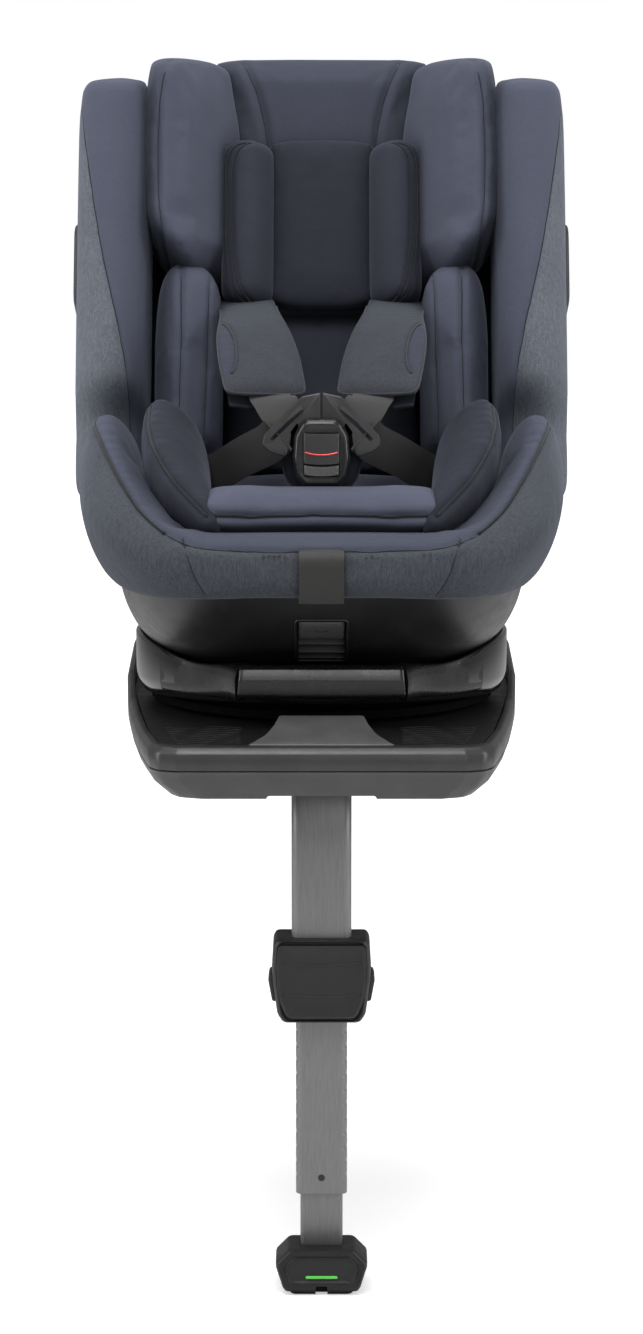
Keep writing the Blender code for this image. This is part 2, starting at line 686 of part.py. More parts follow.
# buckle body with its red button
buckle_half = [  # (x, z)
    (0.0150, 0.2450), (0.0215, 0.2520), (0.0240, 0.2680), (0.0225, 0.2880), (0.0160, 0.3000),
]
BUTTON_HALF_W = 0.0153
BUTTON_Z = (0.2605, 0.2900)
buckle = prism("buckle_body", both_sides(buckle_half), "Y", (-0.1640, -0.1370), BUCKLE)
well_x, well_z = span(BUTTON_HALF_W + LOOSE), widen(BUTTON_Z, LOOSE)
cut(
    buckle,
    box("tongue_slot", span(0.0190), (-0.1560, -0.1500), (0.2780, 0.32)),
    box("button_well", well_x, (-0.20, -0.1575), well_z),
)
box(
    "buckle_button", span(BUTTON_HALF_W), (-0.1655, -0.1620), BUTTON_Z, RED,
    origin=(0, -0.1637, 0.2752),
)

# buckle tongues: flat plates with a slanted slot
tongue_front = [  # (x, z)
    (0.0006, 0.2790), (0.0185, 0.2790), (0.0185, 0.3012), (0.0250, 0.2890), (0.0430, 0.2720),
    (0.0485, 0.2760), (0.0480, 0.2860), (0.0150, 0.3190), (0.0006, 0.3210),
]
tongue_slot = [(0.0170, 0.3090), (0.0420, 0.2830), (0.0405, 0.2805), (0.0150, 0.3070)]
tongue = prism(
    "buckle_tongue_right", tongue_front, "Y", (-0.1548, -0.1512), BUCKLE, (0.02, -0.153, 0.30)
)
cut(tongue, prism("tongue_slot_cut", tongue_slot, "Y", (-0.18, -0.13)))
add_left(tongue)

# shoulder pads, from the backrest down to the shoulder straps
pad_top, pad_low = Vector(at_back(0.064, 0.146, 0.046)), Vector((0.046, -0.088, 0.3190))
pad_middle = (pad_top + pad_low) / 2 + Vector((0.004, 0, -0.006))
add_left(ribbon(
    "shoulder_pad_right", [pad_top, pad_middle, pad_low], (1, -0.25, -0.15),
    width=0.062, thick=0.012, mat=HEATHER,
))
shoulder_path = [(0.0440, -0.0960, 0.3170), (0.0370, -0.125, 0.3080), (0.0337, -0.1435, 0.3040)]
add_left(ribbon(
    "shoulder_strap_right", shoulder_path, (0.75, 0, 0.66), WEB * 0.9, WEB_T, WEBBING
))
hip_path = [
    (0.0400, -0.1460, 0.2810), (0.0620, -0.110, 0.2680), (0.0830, -0.060, 0.2600),
    (0.0860, 0.030, 0.2600),
]
add_left(ribbon("hip_strap_right", hip_path, (0.0, 0.25, 1.0), WEB * 0.7, WEB_T, WEBBING))

# adjuster and its strap, hanging over the cushion's front edge
strap_side = [  # (y, z)
    (-0.2270, 0.2050), (-0.2380, 0.2046), (-0.2402, 0.2000), (-0.2402, 0.1700),
    (-0.2402, 0.1540),
]
ribbon("adjuster_strap", [(0, y, z) for y, z in strap_side], (1, 0, 0), WEB, WEB_T, WEBBING)
adjuster_side = [  # (y, z)
    (-0.1965, 0.1915), (-0.2260, 0.1935), (-0.2270, 0.1970), (-0.2000, 0.2010),
    (-0.1955, 0.1990),
]
prism("harness_adjuster", adjuster_side, "X", span(0.017), BLACK, (0, -0.198, 0.1965))

# flat pods on the outer faces of the bolsters
POD_CENTRE = (0.2188, 0.2005, 0.054)  # (x, s, n)
POD_HALF = (0.0025, 0.0415, 0.024)
pod_ranges = [span(half, centre) for half, centre in zip(POD_HALF, POD_CENTRE)]
pod = box("side_pod_right", *pod_ranges, BLACK, BACK, at_back(*POD_CENTRE))
bevel(pod, 0.0022)
add_left(pod)

# ================================================================ HEADREST (slides along s)
headrest_side = [  # (s, n)
    (0.1865, -0.0050), (0.1865, -0.0012), (0.412, -0.0012), (0.4200, -0.0080),
    (0.4140, -0.0420), (0.3880, -0.0430), (0.3790, -0.0050),
]
prism("headrest_shell", headrest_side, "XB", span(0.12), FOAM)
headrest_half = [(0.0935, 0.0005), (0.0935, 0.0240), (0.070, 0.0305)]  # (x, n)
prism("headrest_pad", both_sides(headrest_half), "S", (0.166, 0.413), NAVY)

# headrest wings
head_wing_section = [  # (x, n)
    (0.0945, 0.0005), (0.1565, 0.0005), (0.1565, 0.0960), (0.1470, 0.1115),
    (0.1330, 0.1115), (0.1180, 0.0950), (0.1000, 0.0660), (0.0945, 0.0350),
]
head_wing_side = [  # (s, n)
    (0.187, -0.01), (0.187, 0.09), (0.200, 0.12), (0.368, 0.12), (0.386, 0.10),
    (0.404, 0.05), (0.410, 0.02), (0.410, -0.01),
]
head_wing = prism("headrest_wing_right", head_wing_section, "S", (0.187, 0.410), NAVY)
keep(head_wing, prism("head_wing_side", head_wing_side, "XB", WIDE))
add_left(head_wing)

# head insert in front of the headrest pad
head_insert_half = [  # (x, n)
    (0.0440, 0.0310), (0.0860, 0.0310), (0.0925, 0.0480), (0.0860, 0.0680),
    (0.0680, 0.0740), (0.0500, 0.0640), (0.0430, 0.0500),
]
prism("head_insert", both_sides(head_insert_half), "S", (0.164, 0.326), NAVY)

# lever behind the headrest
lever = box(
    "headrest_lever", span(0.036), (0.3905, 0.4060), (-0.0530, -0.0436), COLLAR, BACK,
    at_back(0, 0.398, -0.048),
)
bevel(lever, 0.003)


# ================================================================ SUPPORT LEG
def leg_section(name, size, radius, z_range, mat=None, grow=0.0):
    """A rounded rectangular bar on the leg's axis, grow wider and deeper than size."""
    half_w, half_d = ((s + grow) / 2 for s in size)
    return prism(name, round_rect(half_w, half_d, radius, 3, LEG_Y), "Z", z_range, mat)


def leg_y(front, rear):
    """A y range measured from the leg's axis."""
    return (LEG_Y + front, LEG_Y + rear)


# upper tube, with a bored knuckle on the fold pin
UPPER_END = -0.190
KNUCKLE_HALF = 0.0248
upper = leg_section("leg_upper_tube", UPPER_TUBE, UPPER_CORNER, (UPPER_END, -0.004), ALU)
cut(upper, leg_section(
    "upper_bore", UPPER_TUBE, UPPER_CORNER - TUBE_WALL, (-0.30, -0.012), grow=-2 * TUBE_WALL
))
join(
    upper,
    pin_rod("knuckle", KNUCKLE_HALF, 0.0095, ALU, segments=24),
    box("knuckle_web", span(KNUCKLE_HALF), leg_y(-0.0090, 0.0090), (-0.0065, LEG_Z), ALU),
)
cut(upper, pin_rod("knuckle_bore", 0.06, 0.0054))

# collar round the upper tube's lower end, with a button at each side
collar_half = [  # (x, z)
    (0.0330, -0.1970), (0.0375, -0.1900), (0.0420, -0.1600), (0.0425, -0.1500),
    (0.0415, -0.1300), (0.0385, -0.1260),
]
LEG_BUTTON_HALF = 0.0142  # along y
LEG_BUTTON_Z = (-0.1810, -0.1567)
collar = prism("leg_collar", both_sides(collar_half), "Y", leg_y(-0.0245, 0.0205), COLLAR)
cut(
    collar,
    leg_section("collar_bore", UPPER_TUBE, UPPER_CORNER, (UPPER_END - GAP, 0.0), grow=0.0008),
    leg_section("collar_throat", MIDDLE_TUBE, MIDDLE_CORNER, (-0.30, -0.18), grow=0.0010),
)
for side in SIDES:
    cut(collar, box(
        f"leg_button_well_{side}", span(0.0095, side * 0.0430),
        span(LEG_BUTTON_HALF + GAP, LEG_Y), widen(LEG_BUTTON_Z, LOOSE),
    ))
button_low, button_high = LEG_BUTTON_Z
leg_button_front = [  # (x, z)
    (0.0378, button_high), (0.0448, button_high), (0.0445, -0.1640), (0.0410, button_low),
    (0.0378, button_low),
]
add_left(prism(
    "leg_button_right", leg_button_front, "Y", span(LEG_BUTTON_HALF, LEG_Y), COLLAR,
    (0.042, LEG_Y, -0.168),
))

# middle tube, with a small hole through its front wall
middle = leg_section("leg_middle_tube", MIDDLE_TUBE, MIDDLE_CORNER, (-0.348, -0.100), ALU)
HOLE_Z = -0.3335
cut(
    middle,
    leg_section(
        "middle_bore", MIDDLE_TUBE, MIDDLE_CORNER - TUBE_WALL, (-0.40, 0.0),
        grow=-2 * TUBE_WALL,
    ),
    rod("stop_hole", (0, LEG_Y - 0.03, HOLE_Z), (0, LEG_Y, HOLE_Z), 0.003, segments=16),
)

# lower tube
lower = leg_section("leg_lower_tube", LOWER_TUBE, LOWER_CORNER, (-0.404, -0.160), ALU)
cut(lower, leg_section("lower_bore", LOWER_TUBE, 0.003, (-0.50, 0.0), grow=-2 * LOWER_WALL))

# foot: housing with a rubber sole below and an indicator in a front window
foot_half = [  # (x, z)
    (0.0310, -0.4290), (0.0330, -0.4260), (0.0392, -0.4085), (0.0392, -0.4040),
    (0.0275, -0.3930),
]
SOLE_HALF_W = 0.0267
SOLE_Y = leg_y(-0.0223, 0.0163)
NOTCH_X, NOTCH_Y = span(0.0048), leg_y(-0.05, -0.016)
WINDOW_HALF_W = 0.0139
WINDOW_Z = (-0.4180, -0.4142)
foot = prism("foot_housing", both_sides(foot_half), "Y", leg_y(-0.0260, 0.0200), COLLAR)
cut(
    foot,
    leg_section("foot_socket", LOWER_TUBE, LOWER_CORNER, (-0.4045, -0.30), grow=0.0008),
    box("sole_well", span(SOLE_HALF_W + LOOSE), widen(SOLE_Y, LOOSE), (-0.50, -0.4210)),
    box("indicator_window", span(WINDOW_HALF_W), leg_y(-0.05, -0.0240), WINDOW_Z),
    box("foot_notch", NOTCH_X, NOTCH_Y, (-0.44, -0.4245)),
)
sole = box(
    "foot_sole", span(SOLE_HALF_W), SOLE_Y, (SOLE_Z, -0.4250), RUBBER,
    origin=(0, LEG_Y, -0.4285),
)
cut(sole, box("sole_notch", NOTCH_X, NOTCH_Y, (-0.45, -0.41)))
indicator_x, indicator_z = span(WINDOW_HALF_W - GAP), widen(WINDOW_Z, -GAP)
box("foot_indicator", indicator_x, leg_y(-0.0256, -0.0244), indicator_z, GREEN)

# ---------------------------------------------------------------- shading
for piece in seat_collection.objects:
    piece.data.shade_smooth()
    piece.data.set_sharp_from_angle(angle=math.radians(35))
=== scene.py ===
"""Child car seat on a swivelling base with a support leg.

Metres, +Z up. The front is -Y, +X is the side called right, and Z is the swivel axis. The base
stands on z = 0 and the leg reaches down in front of it. The backrest has its own frame: x across,
s up the back, n out of its front face.
"""

import math
import random

import bmesh
import bpy
import numpy as np
from mathutils import Matrix, Vector
from mathutils.bvhtree import BVHTree


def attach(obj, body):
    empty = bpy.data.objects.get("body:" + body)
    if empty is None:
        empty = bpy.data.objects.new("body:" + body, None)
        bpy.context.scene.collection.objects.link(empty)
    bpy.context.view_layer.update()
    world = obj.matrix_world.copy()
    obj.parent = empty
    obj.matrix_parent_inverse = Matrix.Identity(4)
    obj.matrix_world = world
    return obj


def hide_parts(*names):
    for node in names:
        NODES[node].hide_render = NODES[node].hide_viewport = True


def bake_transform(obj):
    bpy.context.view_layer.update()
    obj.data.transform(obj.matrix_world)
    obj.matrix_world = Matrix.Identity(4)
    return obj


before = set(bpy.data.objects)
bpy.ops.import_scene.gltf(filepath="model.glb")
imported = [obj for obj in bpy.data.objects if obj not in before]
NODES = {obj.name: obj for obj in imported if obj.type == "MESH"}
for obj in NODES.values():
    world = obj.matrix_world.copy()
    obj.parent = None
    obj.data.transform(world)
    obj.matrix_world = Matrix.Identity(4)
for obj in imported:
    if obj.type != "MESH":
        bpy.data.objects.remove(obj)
SCENE = bpy.context.scene
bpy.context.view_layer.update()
random.seed(7)

# ---------------------------------------------------------------- driving dimensions
BIGHT = Vector((0.0, 0.09, 0.205))      # where the seat meets the back
RECLINE = math.radians(22.0)            # lean of the backrest
UP_BACK = Vector((0, math.sin(RECLINE), math.cos(RECLINE)))
OUT_OF_BACK = Vector((0, -math.cos(RECLINE), math.sin(RECLINE)))
TUB_AXIS_Z, TUB_TOP = 0.345, 0.163      # centre of the tub's curve, and its rim
LEG_Y, LEG_HINGE_Z = -0.2, 0.011
EYE = Vector((0.0, -3.1606, 0.5687))    # viewing point; front seams are laid out as seen from it
AIM = Vector((0, 0, 0.0681))
SIDES = (("right", 1), ("left", -1))


def back_point(x, s, n):
    """A point of the backrest frame."""
    return BIGHT + Vector((x, 0, 0)) + UP_BACK * s + OUT_OF_BACK * n


def to_back(points):
    offset = points - np.array(BIGHT)
    return offset[:, 0], offset @ np.array(UP_BACK), offset @ np.array(OUT_OF_BACK)


def ease(start, end, value):
    """Smooth step from 0 at start to 1 at end."""
    t = np.clip((np.asarray(value, float) - start) / (end - start), 0, 1)
    return t * t * (3 - 2 * t)


def dome(depth, power, least=0.0):
    """Height of a rounded end: 1 up to depth 0, falling to 0 at depth 1."""
    return math.sqrt(max(least, 1 - max(0.0, depth) ** power))


def signed_pow(value, power):
    return math.copysign(abs(value) ** power, value)


def turn(count):
    """Angles evenly round a circle."""
    return np.linspace(0, 2 * math.pi, count + 1)[:-1]


# ================================================================== MATERIALS
class Kit:
    """One Principled material, with short calls that add nodes to it."""

    SOCKETS = {
        "color": "Base Color", "rough": "Roughness", "metal": "Metallic", "normal": "Normal",
        "sheen": "Sheen Weight", "sheen_rough": "Sheen Roughness", "sheen_tint": "Sheen Tint",
        "spec": "Specular IOR Level", "coat": "Coat Weight", "coat_rough": "Coat Roughness",
        "emit": "Emission Color", "emit_strength": "Emission Strength",
    }

    def __init__(self, name):
        self.material = bpy.data.materials.new(name)
        self.material.use_nodes = True
        self.tree = self.material.node_tree
        self.shader = self.tree.nodes["Principled BSDF"]
        texture = self.node("ShaderNodeTexCoord")
        self.place = texture.outputs["Object"]
        self.uv = texture.outputs["UV"]

    def node(self, kind, **settings):
        node = self.tree.nodes.new(kind)
        for key, value in settings.items():
            setattr(node, key, value)
        return node

    def feed(self, socket, value):
        """Links a socket, or sets it; three numbers are a colour."""
        if isinstance(value, bpy.types.NodeSocket):
            self.tree.links.new(value, socket)
        elif isinstance(value, tuple):
            socket.default_value = (*value, 1.0)
        else:
            socket.default_value = value

    def mapping(self, scale, source=None):
        node = self.node("ShaderNodeMapping")
        self.feed(node.inputs["Vector"], source or self.place)
        node.inputs["Scale"].default_value = scale
        return node.outputs["Vector"]

    def noise(self, scale, detail=3.0, rough=0.5, source=None, distortion=0.0):
        node = self.node("ShaderNodeTexNoise")
        self.feed(node.inputs["Vector"], source or self.place)
        self.feed(node.inputs["Scale"], scale)
        self.feed(node.inputs["Detail"], detail)
        self.feed(node.inputs["Roughness"], rough)
        self.feed(node.inputs["Distortion"], distortion)
        return node.outputs["Fac"]

    def wave(self, scale, direction, source, distortion=0.0):
        node = self.node("ShaderNodeTexWave", wave_type="BANDS", bands_direction=direction)
        self.feed(node.inputs["Vector"], source)
        self.feed(node.inputs["Scale"], scale)
        self.feed(node.inputs["Distortion"], distortion)
        return node.outputs["Fac"]

    def math(self, operation, first, second, clamp=False):
        node = self.node("ShaderNodeMath", operation=operation, use_clamp=clamp)
        self.feed(node.inputs[0], first)
        self.feed(node.inputs[1], second)
        return node.outputs[0]

    def add(self, first, second):
        return self.math("ADD", first, second)

    def mul(self, first, second, clamp=False):
        return self.math("MULTIPLY", first, second, clamp)

    def weighted(self, *terms):
        """Sum of (value, weight) terms."""
        total = self.mul(*terms[0])
        for term in terms[1:]:
            total = self.add(total, self.mul(*term))
        return total

    def ramp(self, factor, *stops):
        """Colour ramp; each stop is a position and a colour or a single grey."""
        node = self.node("ShaderNodeValToRGB")
        self.feed(node.inputs["Fac"], factor)
        elements = node.color_ramp.elements
        while len(elements) < len(stops):
            elements.new(0.5)
        for element, (position, shade) in zip(elements, stops):
            element.position = position
            element.color = (*(shade if isinstance(shade, tuple) else (shade,) * 3), 1.0)
        return node.outputs["Color"]

    def mix(self, factor, first, second, mode="MIX"):
        node = self.node("ShaderNodeMix", data_type="RGBA", blend_type=mode)
        self.feed(node.inputs["Factor"], factor)
        self.feed(node.inputs[6], first)
        self.feed(node.inputs[7], second)
        return node.outputs[2]

    def bump(self, height, strength, distance, normal=None):
        node = self.node("ShaderNodeBump")
        self.feed(node.inputs["Strength"], strength)
        self.feed(node.inputs["Distance"], distance)
        self.feed(node.inputs["Height"], height)
        if normal:
            self.feed(node.inputs["Normal"], normal)
        return node.outputs["Normal"]

    def set(self, **values):
        for key, value in values.items():
            self.feed(self.shader.inputs[self.SOCKETS[key]], value)
        return self.material


def scaled(color, factor):
    return tuple(v * factor for v in color)


KNIT_DARK, KNIT_LIGHT = (0.0625, 0.0685, 0.0975), (0.0755, 0.082, 0.1145)
HEATHER_DARK, HEATHER_MID = (0.052, 0.0575, 0.07), (0.073, 0.08, 0.095)
HEATHER_LIGHT = (0.102, 0.11, 0.127)


def knit_color(kit):
    broad = kit.noise(scale=9.0, detail=2.0)
    fine = kit.noise(scale=520.0, detail=2.0, rough=0.6)
    factor = kit.weighted((broad, 0.45), (fine, 0.55))
    return kit.ramp(factor, (0.3, KNIT_DARK), (0.7, KNIT_LIGHT))


def knit_height(kit):
    columns = kit.wave(scale=330.0, direction="X", source=kit.mapping(scale=(1, 0.4, 1)))
    rows = kit.wave(scale=330.0, direction="Z", source=kit.mapping(scale=(1, 1, 1)))
    return kit.mul(kit.add(columns, 0.25), kit.add(rows, 0.25))


def heather_color(kit):
    slub = kit.noise(scale=1.0, rough=0.6, source=kit.mapping(scale=(1150, 1150, 210)))
    coarse = kit.noise(scale=1.0, detail=2.0, source=kit.mapping(scale=(420, 420, 90)))
    broad = kit.noise(scale=14.0, detail=2.0)
    factor = kit.weighted((slub, 0.58), (coarse, 0.28), (broad, 0.14))
    return kit.ramp(factor, (0.36, HEATHER_DARK), (0.5, HEATHER_MID), (0.66, HEATHER_LIGHT))


def heather_height(kit):
    upright = kit.mapping(scale=(1, 1, 0.15))
    columns = kit.wave(scale=240.0, direction="X", source=upright, distortion=1.5)
    plain = kit.mapping(scale=(1, 1, 1))
    rows = kit.wave(scale=240.0, direction="Z", source=plain, distortion=0.6)
    return kit.weighted((columns, 0.6), (rows, 0.4))


def finish_fabric(kit, color, height, weave, painted_light_tone=1.0, recess_shade_deep=0.24, recess_shade_mid=0.66):
    """Wrinkles, weave and fuzz over a cloth colour. A factor of painted light or shade scales the
    whole cloth, and two levels set the painted shade that an occlusion node lays into its recesses.
    """
    fuzz = kit.noise(scale=1400.0, detail=2.0, rough=0.7)
    wrinkle = kit.noise(scale=34.0, rough=0.55, distortion=0.6)
    normal = kit.bump(wrinkle, strength=0.16, distance=0.004)
    normal = kit.bump(height, strength=weave, distance=0.0004, normal=normal)
    normal = kit.bump(fuzz, strength=0.18, distance=0.0003, normal=normal)
    rough = kit.ramp(kit.noise(scale=60.0, detail=2.0), (0.3, 0.84), (0.7, 0.95))
    # painted shade: an occlusion node darkens the cloth colour in its recesses
    painted_recess_shade = kit.node("ShaderNodeAmbientOcclusion", samples=1)
    kit.feed(painted_recess_shade.inputs["Distance"], 0.13)
    shade = kit.ramp(painted_recess_shade.outputs["AO"],
                     (0.05, recess_shade_deep * painted_light_tone), (0.45, recess_shade_mid * painted_light_tone), (0.95, 1.06 * painted_light_tone))
    color = kit.mix(1.0, color, shade, "MULTIPLY")
    return kit.set(color=color, rough=rough, normal=normal, sheen=0.22, sheen_rough=0.4,
                   sheen_tint=(0.5, 0.55, 0.7), spec=0.18)


# One copy of the slate knit; its factor paints light or shade over the whole piece.
def make_knit(name, painted_light_tone):
    kit = Kit(name)
    return finish_fabric(kit, knit_color(kit), knit_height(kit), weave=0.3, painted_light_tone=painted_light_tone)


def make_heather():
    kit = Kit("melange_cloth")
    return finish_fabric(kit, heather_color(kit), heather_height(kit), weave=0.45)


def make_two_cloth(name, knit_painted_light_tone, heather_painted_light_tone, recess_shade_deep=0.24, recess_shade_mid=0.66):
    """Smooth cloth where the mesh attribute zone is below 0, melange where it is above."""
    kit = Kit(name)
    zone = kit.node("ShaderNodeAttribute", attribute_name="zone").outputs["Fac"]
    melange = kit.mul(kit.add(zone, 0.0006), 900.0, clamp=True)
    # each cloth is scaled by its own factor of painted light or shade
    knit = kit.mix(1.0, knit_color(kit), (knit_painted_light_tone,) * 3, "MULTIPLY")
    heather = kit.mix(1.0, heather_color(kit), (heather_painted_light_tone,) * 3, "MULTIPLY")
    color = kit.mix(melange, knit, heather)
    smooth, rough = knit_height(kit), heather_height(kit)
    height = kit.add(kit.mul(smooth, kit.math("SUBTRACT", 1.0, melange)), kit.mul(rough, melange))
    return finish_fabric(kit, color, height, weave=0.38, recess_shade_deep=recess_shade_deep, recess_shade_mid=recess_shade_mid)


def make_piping(name, color):
    kit = Kit(name)
    grain = kit.noise(scale=900.0, detail=2.0)
    shade = kit.ramp(grain, (0.3, scaled(color, 0.8)), (0.7, scaled(color, 1.25)))
    return kit.set(color=shade, rough=0.85, spec=0.25, sheen=0.2,
                   normal=kit.bump(grain, strength=0.3, distance=0.0003))


def make_thread():
    kit = Kit("stitch_thread")
    grain = kit.noise(scale=1500.0, detail=1.0)
    shade = kit.ramp(grain, (0.3, (0.012, 0.0135, 0.02)), (0.7, (0.024, 0.027, 0.038)))
    return kit.set(color=shade, rough=0.6, spec=0.4,
                   normal=kit.bump(grain, strength=0.3, distance=0.0002))


def make_webbing():
    """UV x runs across the strap in metres, y along it."""
    kit = Kit("harness_webbing")
    across = kit.wave(scale=1.0, direction="X", source=kit.mapping((420, 0.0, 0), kit.uv))
    tooth = kit.wave(scale=1.0, direction="Y", source=kit.mapping((0.0, 360, 0), kit.uv))
    chevron = kit.wave(scale=1.0, direction="DIAGONAL", source=kit.mapping((150, 150, 0), kit.uv))
    height = kit.add(kit.mul(across, 0.55), kit.weighted((tooth, 0.25), (chevron, 0.2)))
    factor = kit.weighted((height, 0.6), (kit.noise(scale=500.0, detail=2.0), 0.4))
    shade = kit.ramp(factor, (0.25, (0.018, 0.0182, 0.0172)), (0.75, (0.03, 0.0303, 0.0288)))
    return kit.set(color=shade, rough=0.58, spec=0.35, sheen=0.12, sheen_rough=0.4,
                   normal=kit.bump(height, strength=0.25, distance=0.0003))


def make_plastic(name, color, rough, grain=0.25, scale=1900.0, coat=0.0, edge_lift=0.25, spec=0.5):
    """Moulded plastic; grain and scale are its fine texture, and the edge factor mixes a paler
    colour into its sharp convex edges.
    """
    kit = Kit(name)
    texture = kit.noise(scale=scale, rough=0.6)
    mottle = kit.noise(scale=38.0)
    shade = kit.ramp(mottle, (0.35, scaled(color, 0.9)), (0.65, scaled(color, 1.1)))
    geometry = kit.node("ShaderNodeNewGeometry")
    edge = kit.ramp(geometry.outputs["Pointiness"], (0.52, 0.0), (0.6, 1.0))
    pale_edge = tuple(min(1.0, v * 2.1 + 0.015) for v in color)
    shade = kit.mix(kit.mul(edge, edge_lift), shade, pale_edge)
    roughness = kit.ramp(kit.noise(scale=70.0, rough=0.6),
                         (0.3, rough * 0.88), (0.7, min(1.0, rough * 1.14)))
    return kit.set(color=shade, rough=roughness, spec=spec, coat=coat, coat_rough=0.08,
                   normal=kit.bump(texture, strength=grain, distance=0.00025))


def make_metal(name, color, rough, metal, streak, strength=0.12):
    kit = Kit(name)
    streaks = kit.noise(scale=1.0, rough=0.6, source=kit.mapping(streak))
    shade = kit.ramp(streaks, (0.3, scaled(color, 0.88)), (0.7, scaled(color, 1.1)))
    roughness = kit.ramp(streaks, (0.3, rough * 0.85), (0.7, rough * 1.2))
    return kit.set(color=shade, rough=roughness, metal=metal,
                   normal=kit.bump(streaks, strength=strength, distance=0.0003))


def make_rubber():
    kit = Kit("sole_rubber")
    grain = kit.noise(scale=700.0)
    shade = kit.ramp(grain, (0.3, 0.012), (0.7, 0.024))
    return kit.set(color=shade, rough=0.88, spec=0.3,
                   normal=kit.bump(grain, strength=0.5, distance=0.0004))


# A faint glow on coloured plastic: painted light, for these parts are no lamps.
def make_glow(name, color, strength):
    kit = Kit(name)
    shade = kit.ramp(kit.noise(scale=300.0, detail=2.0), (0.3, scaled(color, 0.85)), (0.7, color))
    return kit.set(color=shade, rough=0.25, emit=color, emit_strength=strength, coat=0.6)


KNIT = make_knit("slate_knit", painted_light_tone=0.89)
make_heather()      # melange on its own, ready for use; no piece wears it yet
# One slate cloth in copies of painted light and shade: the darker copies paint shade on the cover,
# the shoulder pads, the headrest panel, the back, the inserts, the hugger and the horns; the lighter
# ones paint light on the bolsters, the body supports and the roll.
TWO_CLOTH_SHADED = make_two_cloth("cover_cloth_shaded", knit_painted_light_tone=0.8, heather_painted_light_tone=0.68)
TWO_SIDE_LIT = make_two_cloth("bolster_cloth", knit_painted_light_tone=0.98, heather_painted_light_tone=1.36, recess_shade_deep=0.55, recess_shade_mid=0.82)
TWO_PAD_SHADED = make_two_cloth("shoulder_pad_cloth_shaded", knit_painted_light_tone=0.52, heather_painted_light_tone=0.47)
KNIT_PANEL_SHADED = make_knit("slate_knit_panel_shaded", painted_light_tone=0.67)
KNIT_DEEP_SHADE = make_knit("slate_knit_deep_shade", painted_light_tone=0.54)
KNIT_INSERT_SHADED = make_knit("slate_knit_insert_shaded", painted_light_tone=0.33)
KNIT_HUG_SHADED = make_knit("slate_knit_hugger_shaded", painted_light_tone=0.41)
KNIT_HORN_SHADED = make_knit("slate_knit_horn_shaded", painted_light_tone=0.32)
KNIT_BODY_LIT = make_knit("slate_knit_body_lit", painted_light_tone=1.05)
PIPING = make_piping("cord_piping", (0.0085, 0.0095, 0.015))
THREAD = make_thread()
WEB = make_webbing()
BINDING = make_piping("pad_binding", (0.017, 0.019, 0.028))
TUB_BLACK = make_plastic("tub_black", (0.0125, 0.0125, 0.013), rough=0.38, grain=0.1, scale=2400.0)
GLOSS = make_plastic("cradle_gloss_black", (0.0085, 0.0085, 0.009), rough=0.13, grain=0.02,
                     scale=900.0, coat=0.5, edge_lift=0.15)
HANDLE_BLACK = make_plastic("handle_satin_black", (0.0085, 0.0085, 0.0088), rough=0.28,
                            grain=0.03, scale=900.0, coat=0.1, edge_lift=0.1)
# The centre plate and the fascia are one grey: the plate is lighter as painted light on its upward
# face, the fascia darker as painted shade on its upright front.
PLATE_GREY_LIT = make_plastic("centre_plate_grey_lit", (0.088, 0.088, 0.0885), rough=0.42, grain=0.2)
FASCIA_GREY_SHADED = make_plastic("fascia_grey_shaded", (0.03, 0.03, 0.0302), rough=0.34, grain=0.22)
# painted shade: near black for the cradle floor and the turntable plate, which sit in shade under
# the tub
SHADOW_BLACK = make_plastic("shadow_matt_black", (0.0035, 0.0035, 0.0035), rough=0.95, grain=0.1,
                            scale=900.0, edge_lift=0.0, spec=0.05)
BASE_GREY = make_plastic("base_grey", (0.053, 0.0533, 0.0537), rough=0.42, grain=0.2)
DECK_BLACK = make_plastic("deck_black", (0.006, 0.006, 0.006), rough=0.45, grain=0.3, spec=0.35)
SHELL_GREY = make_plastic("rear_shell_grey", (0.058, 0.059, 0.063), rough=0.48, grain=0.3)
COLLAR_GREY = make_plastic("collar_grey", (0.0085, 0.0087, 0.0091), rough=0.5, grain=0.24)
BUCKLE_GREY = make_plastic("buckle_grey", (0.03, 0.03, 0.0305), rough=0.34, grain=0.14)
CASE_BLACK = make_plastic("buckle_case_black", (0.0135, 0.0135, 0.014), rough=0.26, grain=0.06)
BUCKLE_SATIN = make_plastic("buckle_satin", (0.08, 0.08, 0.082), rough=0.28, grain=0.06)
CONN_BLACK = make_plastic("connector_black", (0.012, 0.012, 0.0125), rough=0.34, grain=0.15)
POD_BLACK = make_plastic("pod_black", (0.02, 0.02, 0.022), rough=0.42, grain=0.22)
FLAP_GREY = make_plastic("flap_grey", (0.058, 0.059, 0.059), rough=0.5)
FOAM_GREY = make_plastic("structural_foam", (0.045, 0.045, 0.048), rough=0.8, grain=0.6,
                         scale=420.0)
RED = make_plastic("release_red", (0.42, 0.018, 0.014), rough=0.35, grain=0.05)
TUBE = make_metal("anodised_tube", (0.2, 0.2, 0.202), rough=0.4, metal=0.5,
                  streak=(900, 900, 60), strength=0.05)
STEEL = make_metal("bright_steel", (0.5, 0.5, 0.51), rough=0.3, metal=1.0, streak=(40, 900, 900))
RUBBER = make_rubber()
# the foot's signal strip and the buckle's press line glow a little: painted light
GREEN = make_glow("indicator_green", (0.1, 0.62, 0.07), strength=0.1)
RED_LINE = make_glow("red_line", (0.75, 0.03, 0.03), strength=0.12)


# ================================================================== MESH KIT
def link(obj):
    SCENE.collection.objects.link(obj)
    return obj


def place(obj, body, slot_name, *replaced):
    """Tells the frame which body carries the piece and hides the nodes it stands in for; slot_name
    is not used.
    """
    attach(obj, body)
    if replaced:
        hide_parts(*replaced)


